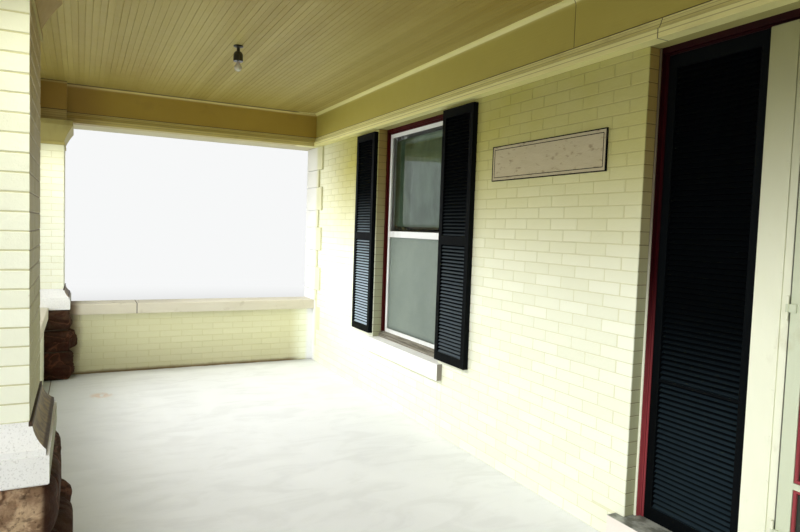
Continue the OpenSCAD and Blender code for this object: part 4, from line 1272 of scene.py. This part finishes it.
def make_casing_bead(cream):
    """Pale strip between the brick reveal and the red trim, up both jambs."""
    front, back = CASING_LOW.y - 0.012, CASING_LOW.y + 0.001
    left = ([-DOORWAY_HALF + 0.003, front, CASING_LOW.z], [-DOORWAY_HALF + 0.016, back, SOFFIT_Z])
    strips = boxes_mesh([left] + mirrored([left]), 0.004, 0.0002, 32)
    finish_piece("casing_bead", strips, cream)


def dome(centre, radius, height, sides=8, rings=3):
    """A nail's head on a surface that faces -Y."""
    points = [[centre[0], centre[1] - height, centre[2]]]
    faces = []
    for ring in range(1, rings + 1):
        a = math.pi / 2 * ring / rings
        for k in range(sides):
            b = 2 * math.pi * k / sides
            points.append([centre[0] + radius * math.sin(a) * math.cos(b), centre[1] - height * math.cos(a),
                           centre[2] + radius * math.sin(a) * math.sin(b)])
    for k in range(sides):
        faces.append([0, 1 + k, 1 + (k + 1) % sides])
    for ring in range(rings - 1):
        for k in range(sides):
            a, b = 1 + ring * sides + k, 1 + ring * sides + (k + 1) % sides
            faces.append([a, b, b + sides, a + sides])
    faces.append([1 + (rings - 1) * sides + k for k in range(sides)])
    return points, faces


def make_nails(material):
    """Nail heads down the boards beside the door."""
    chance = np.random.default_rng(12)
    heads = []
    for side in (-1, 1):
        z = FLOOR_Z + 0.25
        while z < DOOR_HIGH.z:
            centre = (side * (NAIL_X + chance.uniform(-0.004, 0.004)), WALL_Y + REVEAL, z)
            heads.append(dome(centre, 0.004, 0.0016))
            z += chance.uniform(0.16, 0.34)
    finish_piece("board_nails", joined(heads), material, smooth=True)


def make_plaque(paint, black):
    """A bare painted board with a thin black frame."""
    (x0, z0), (x1, z1) = PLAQUE_LOW, PLAQUE_HIGH
    back = WALL_Y - 0.001
    board = ([x0, back - 0.012, z0], [x1, back, z1])
    finish_piece("plaque", boxes_mesh([board], 0.003, 0.0004, 33), paint)
    bars = []
    for inset, width, lift in ((0.0, 0.006, 0.015), (0.022, 0.004, 0.0135)):
        bars += rim((x0 + inset, z0 + inset), (x1 - inset, z1 - inset), back - lift, back - 0.002, 0.0, width,
                    within=width)
    finish_piece("plaque_frame", boxes_mesh(bars, 0.001, 0.0002, 34), black)


def dress(material, *names):
    """Gives solids of the frame their material."""
    for name in names:
        slots = NODES[name].data.materials
        slots.clear()
        slots.append(material)


def all_four(name):
    return [f"{name}_{n}" for n in range(1, 5)]


def make_stage():
    """Pale floor that runs into the white backdrop far from the object."""
    look = Look("stage_floor", Specular_IOR_Level=0.1)
    tint = look.mix(look.noise(0.6, 3), rgb(236, 237, 234), rgb(230, 232, 228))
    look.finish(tint, look.noise(4, 2).span(0.7, 0.9))
    far = look.value("VectorMath", {0: look.place}, "Value", operation="LENGTH").ramp(8.0, 20.0)
    glow = look.value("Emission", {"Color": BACKDROP, "Strength": 1.0})
    lit = Value(look, look.shader.outputs[0])
    look.link(look.value("MixShader", {0: far, 1: lit, 2: glow}),
              look.tree.nodes["Material Output"].inputs["Surface"])
    mesh = bpy.data.meshes.new("stage_floor")
    corners = [(x * STAGE_REACH, y * STAGE_REACH, 0) for x, y in ((-1, -1), (1, -1), (1, 1), (-1, 1))]
    mesh.from_pydata(corners, [], [(0, 1, 2, 3)])
    mesh.materials.append(look.material)
    floor = bpy.data.objects.new("stage_floor", mesh)
    bpy.context.scene.collection.objects.link(floor)


def make_world():
    """Even white light, and a white background for the camera and for what reflects or lets through."""
    world = bpy.data.worlds.new("sky")
    bpy.context.scene.world = world
    world.use_nodes = True
    world.node_tree.nodes.clear()
    sky = Nodes(world.node_tree)
    seen = sky.value("LightPath", {}, "Is Camera Ray")
    for ray in ("Is Glossy Ray", "Is Transmission Ray"):
        seen = seen.most(sky.value("LightPath", {}, ray))
    light = sky.value("Background", {"Color": DAYLIGHT, "Strength": 0.4})
    backdrop = sky.value("Background", {"Color": BACKDROP, "Strength": 1.0})
    sky.node("OutputWorld", {0: sky.value("MixShader", {0: seen, 1: light, 2: backdrop})})


def add_area(name, place, target, size, power, spread=180):
    """A rectangular lamp that only lights, and isn't seen or mirrored."""
    lamp = bpy.data.lights.new(name, "AREA")
    lamp.shape = "RECTANGLE"
    lamp.size, lamp.size_y = size
    lamp.energy = power
    lamp.spread = math.radians(spread)
    thing = bpy.data.objects.new(name, lamp)
    thing.location = place
    thing.rotation_euler = (Vector(target) - Vector(place)).to_track_quat("-Z", "Y").to_euler()
    thing.visible_camera = False
    thing.visible_glossy = False
    thing.visible_transmission = False
    bpy.context.scene.collection.objects.link(thing)


def make_lights():
    """Soft daylight from the front and both sides, and a share of it in each bay under the roof."""
    add_area("front_light", (3.0, -20.0, 6.0), (-1.0, 0.0, 1.2), (18.0, 8.0), 1300)
    add_area("right_light", (34.0, -14.0, 9.0), (0.0, -1.0, 1.2), (16.0, 10.0), 5300)
    add_area("left_light", (-34.0, -14.0, 9.0), (0.0, -1.0, 1.2), (16.0, 10.0), 3700)
    for n, (x, width) in enumerate(((-3.9, 3.6), (0.0, 2.3), (3.9, 3.6))):
        add_area(f"bay_light_{n}", (x, -1.05, 2.72), (x - 0.3, 1.0, FLOOR_Z), (width, 0.25), 8.5 * width, 115)
    for name, side in (("end_bay_light_1", -1), ("end_bay_light_3", 1)):
        add_area(name, (side * 5.7, -0.2, 2.68), (side * 4.7, 1.5, 1.2), (1.8, 0.25), 15, 120)


def make_camera():
    """The photograph's viewpoint: inside the porch, looking past the doorway to the far end."""
    data = bpy.data.cameras.new("camera")
    data.lens = LENS
    data.sensor_width = 36
    data.clip_start = 0.05
    data.clip_end = 300
    level = math.cos(EYE_PITCH)
    forward = Vector((-math.cos(EYE_YAW) * level, math.sin(EYE_YAW) * level, -math.sin(EYE_PITCH)))
    right = Vector((math.sin(EYE_YAW), math.cos(EYE_YAW), 0))
    up = right.cross(forward)
    tilted_right = math.cos(EYE_ROLL) * right + math.sin(EYE_ROLL) * up
    tilted_up = -math.sin(EYE_ROLL) * right + math.cos(EYE_ROLL) * up
    camera = bpy.data.objects.new("camera", data)
    axes = Matrix((tilted_right, tilted_up, -forward)).transposed()
    camera.matrix_world = Matrix.Translation(EYE) @ axes.to_4x4()
    bpy.context.scene.collection.objects.link(camera)
    bpy.context.scene.camera = camera


paint = brick_paint()
# The light blue-grey colours are painted sheen on the slats, a little dusty.
black = slat_paint("black_paint", "door_louvres", rgb(74, 96, 108), 0.85, (FLOOR_Z + 1.3, FLOOR_Z + 0.6))
shutter = slat_paint("shutter_paint", "shutters_left", rgb(186, 206, 218), 0.7,
                     (FLOOR_Z + 2.0, FLOOR_Z + 1.0))
red = red_paint()
cream = board_paint("cream_paint", rgb(244, 247, 226), rgb(231, 234, 208))
metal = white_metal()
# The brown stone takes nearly full painted shade on the house side and the corner pedestals.
stone = rock("brown_stone", rgb(214, 188, 154), rgb(172, 144, 116), rgb(108, 80, 58), 0.97)
field_stone = rock("field_stone", rgb(168, 142, 116), rgb(132, 106, 86), rgb(96, 74, 60))
filling = mortar()
window_pane = dark_glass("dark_glass", rgb(98, 120, 104), rgb(146, 168, 150))
door_pane = dark_glass("door_glass", rgb(52, 64, 58), rgb(80, 92, 84))

dress(joint_paint(), "wall_left", "wall_right", "wall_door", "front_low_walls", "end_low_walls")
dress(shaft_paint(), *all_four("column"))
dress(trim_paint(), "beam_front", "beam_left", "beam_right", "wall_frieze", "cornice")
dress(ceiling_paint(), "ceiling")
dress(concrete(), "floor_slab")
dress(filling, "foundation", *all_four("pedestal"))
dress(painted_stone(), "window_sills", *all_four("pedestal_cap"))
dress(coping_stone(), "front_copings", "end_copings")
dress(shutter, "shutters_left", "shutters_right")
dress(black, "door_louvres")
dress(red, "door_casing")
dress(frame_paint(), "window_frame_left", "window_frame_right", "window_sashes")
dress(cream, "door_mullions", "door_hinges")
dress(board_paint("door_paint", rgb(214, 222, 198), rgb(198, 206, 178)), "storm_door")
dress(metal, "window_storm_left", "window_storm_right")
dress(brass(), "door_handle")
dress(black_glaze(), "lamp_sockets")
dress(bulb_glass(), "lamp_bulbs")
dress(door_stone(), "door_sill")
dress(roof_deck(), "roof")

make_walls(paint)
make_columns(paint)
make_low_walls(paint)
make_pedestals(stone, filling)
make_foundation(field_stone)
make_shingles(shingle())
make_flashing(lead())
make_windows(clear_glass(), window_pane, screen_mesh(), metal)
make_door_glass(door_pane, red)
make_casing_bead(cream)
make_nails(cream)
make_plaque(plaque_paint(), black)
make_stage()
make_world()
make_lights()
make_camera()

bpy.context.scene.view_settings.view_transform = "Standard"
bpy.context.view_layer.update()
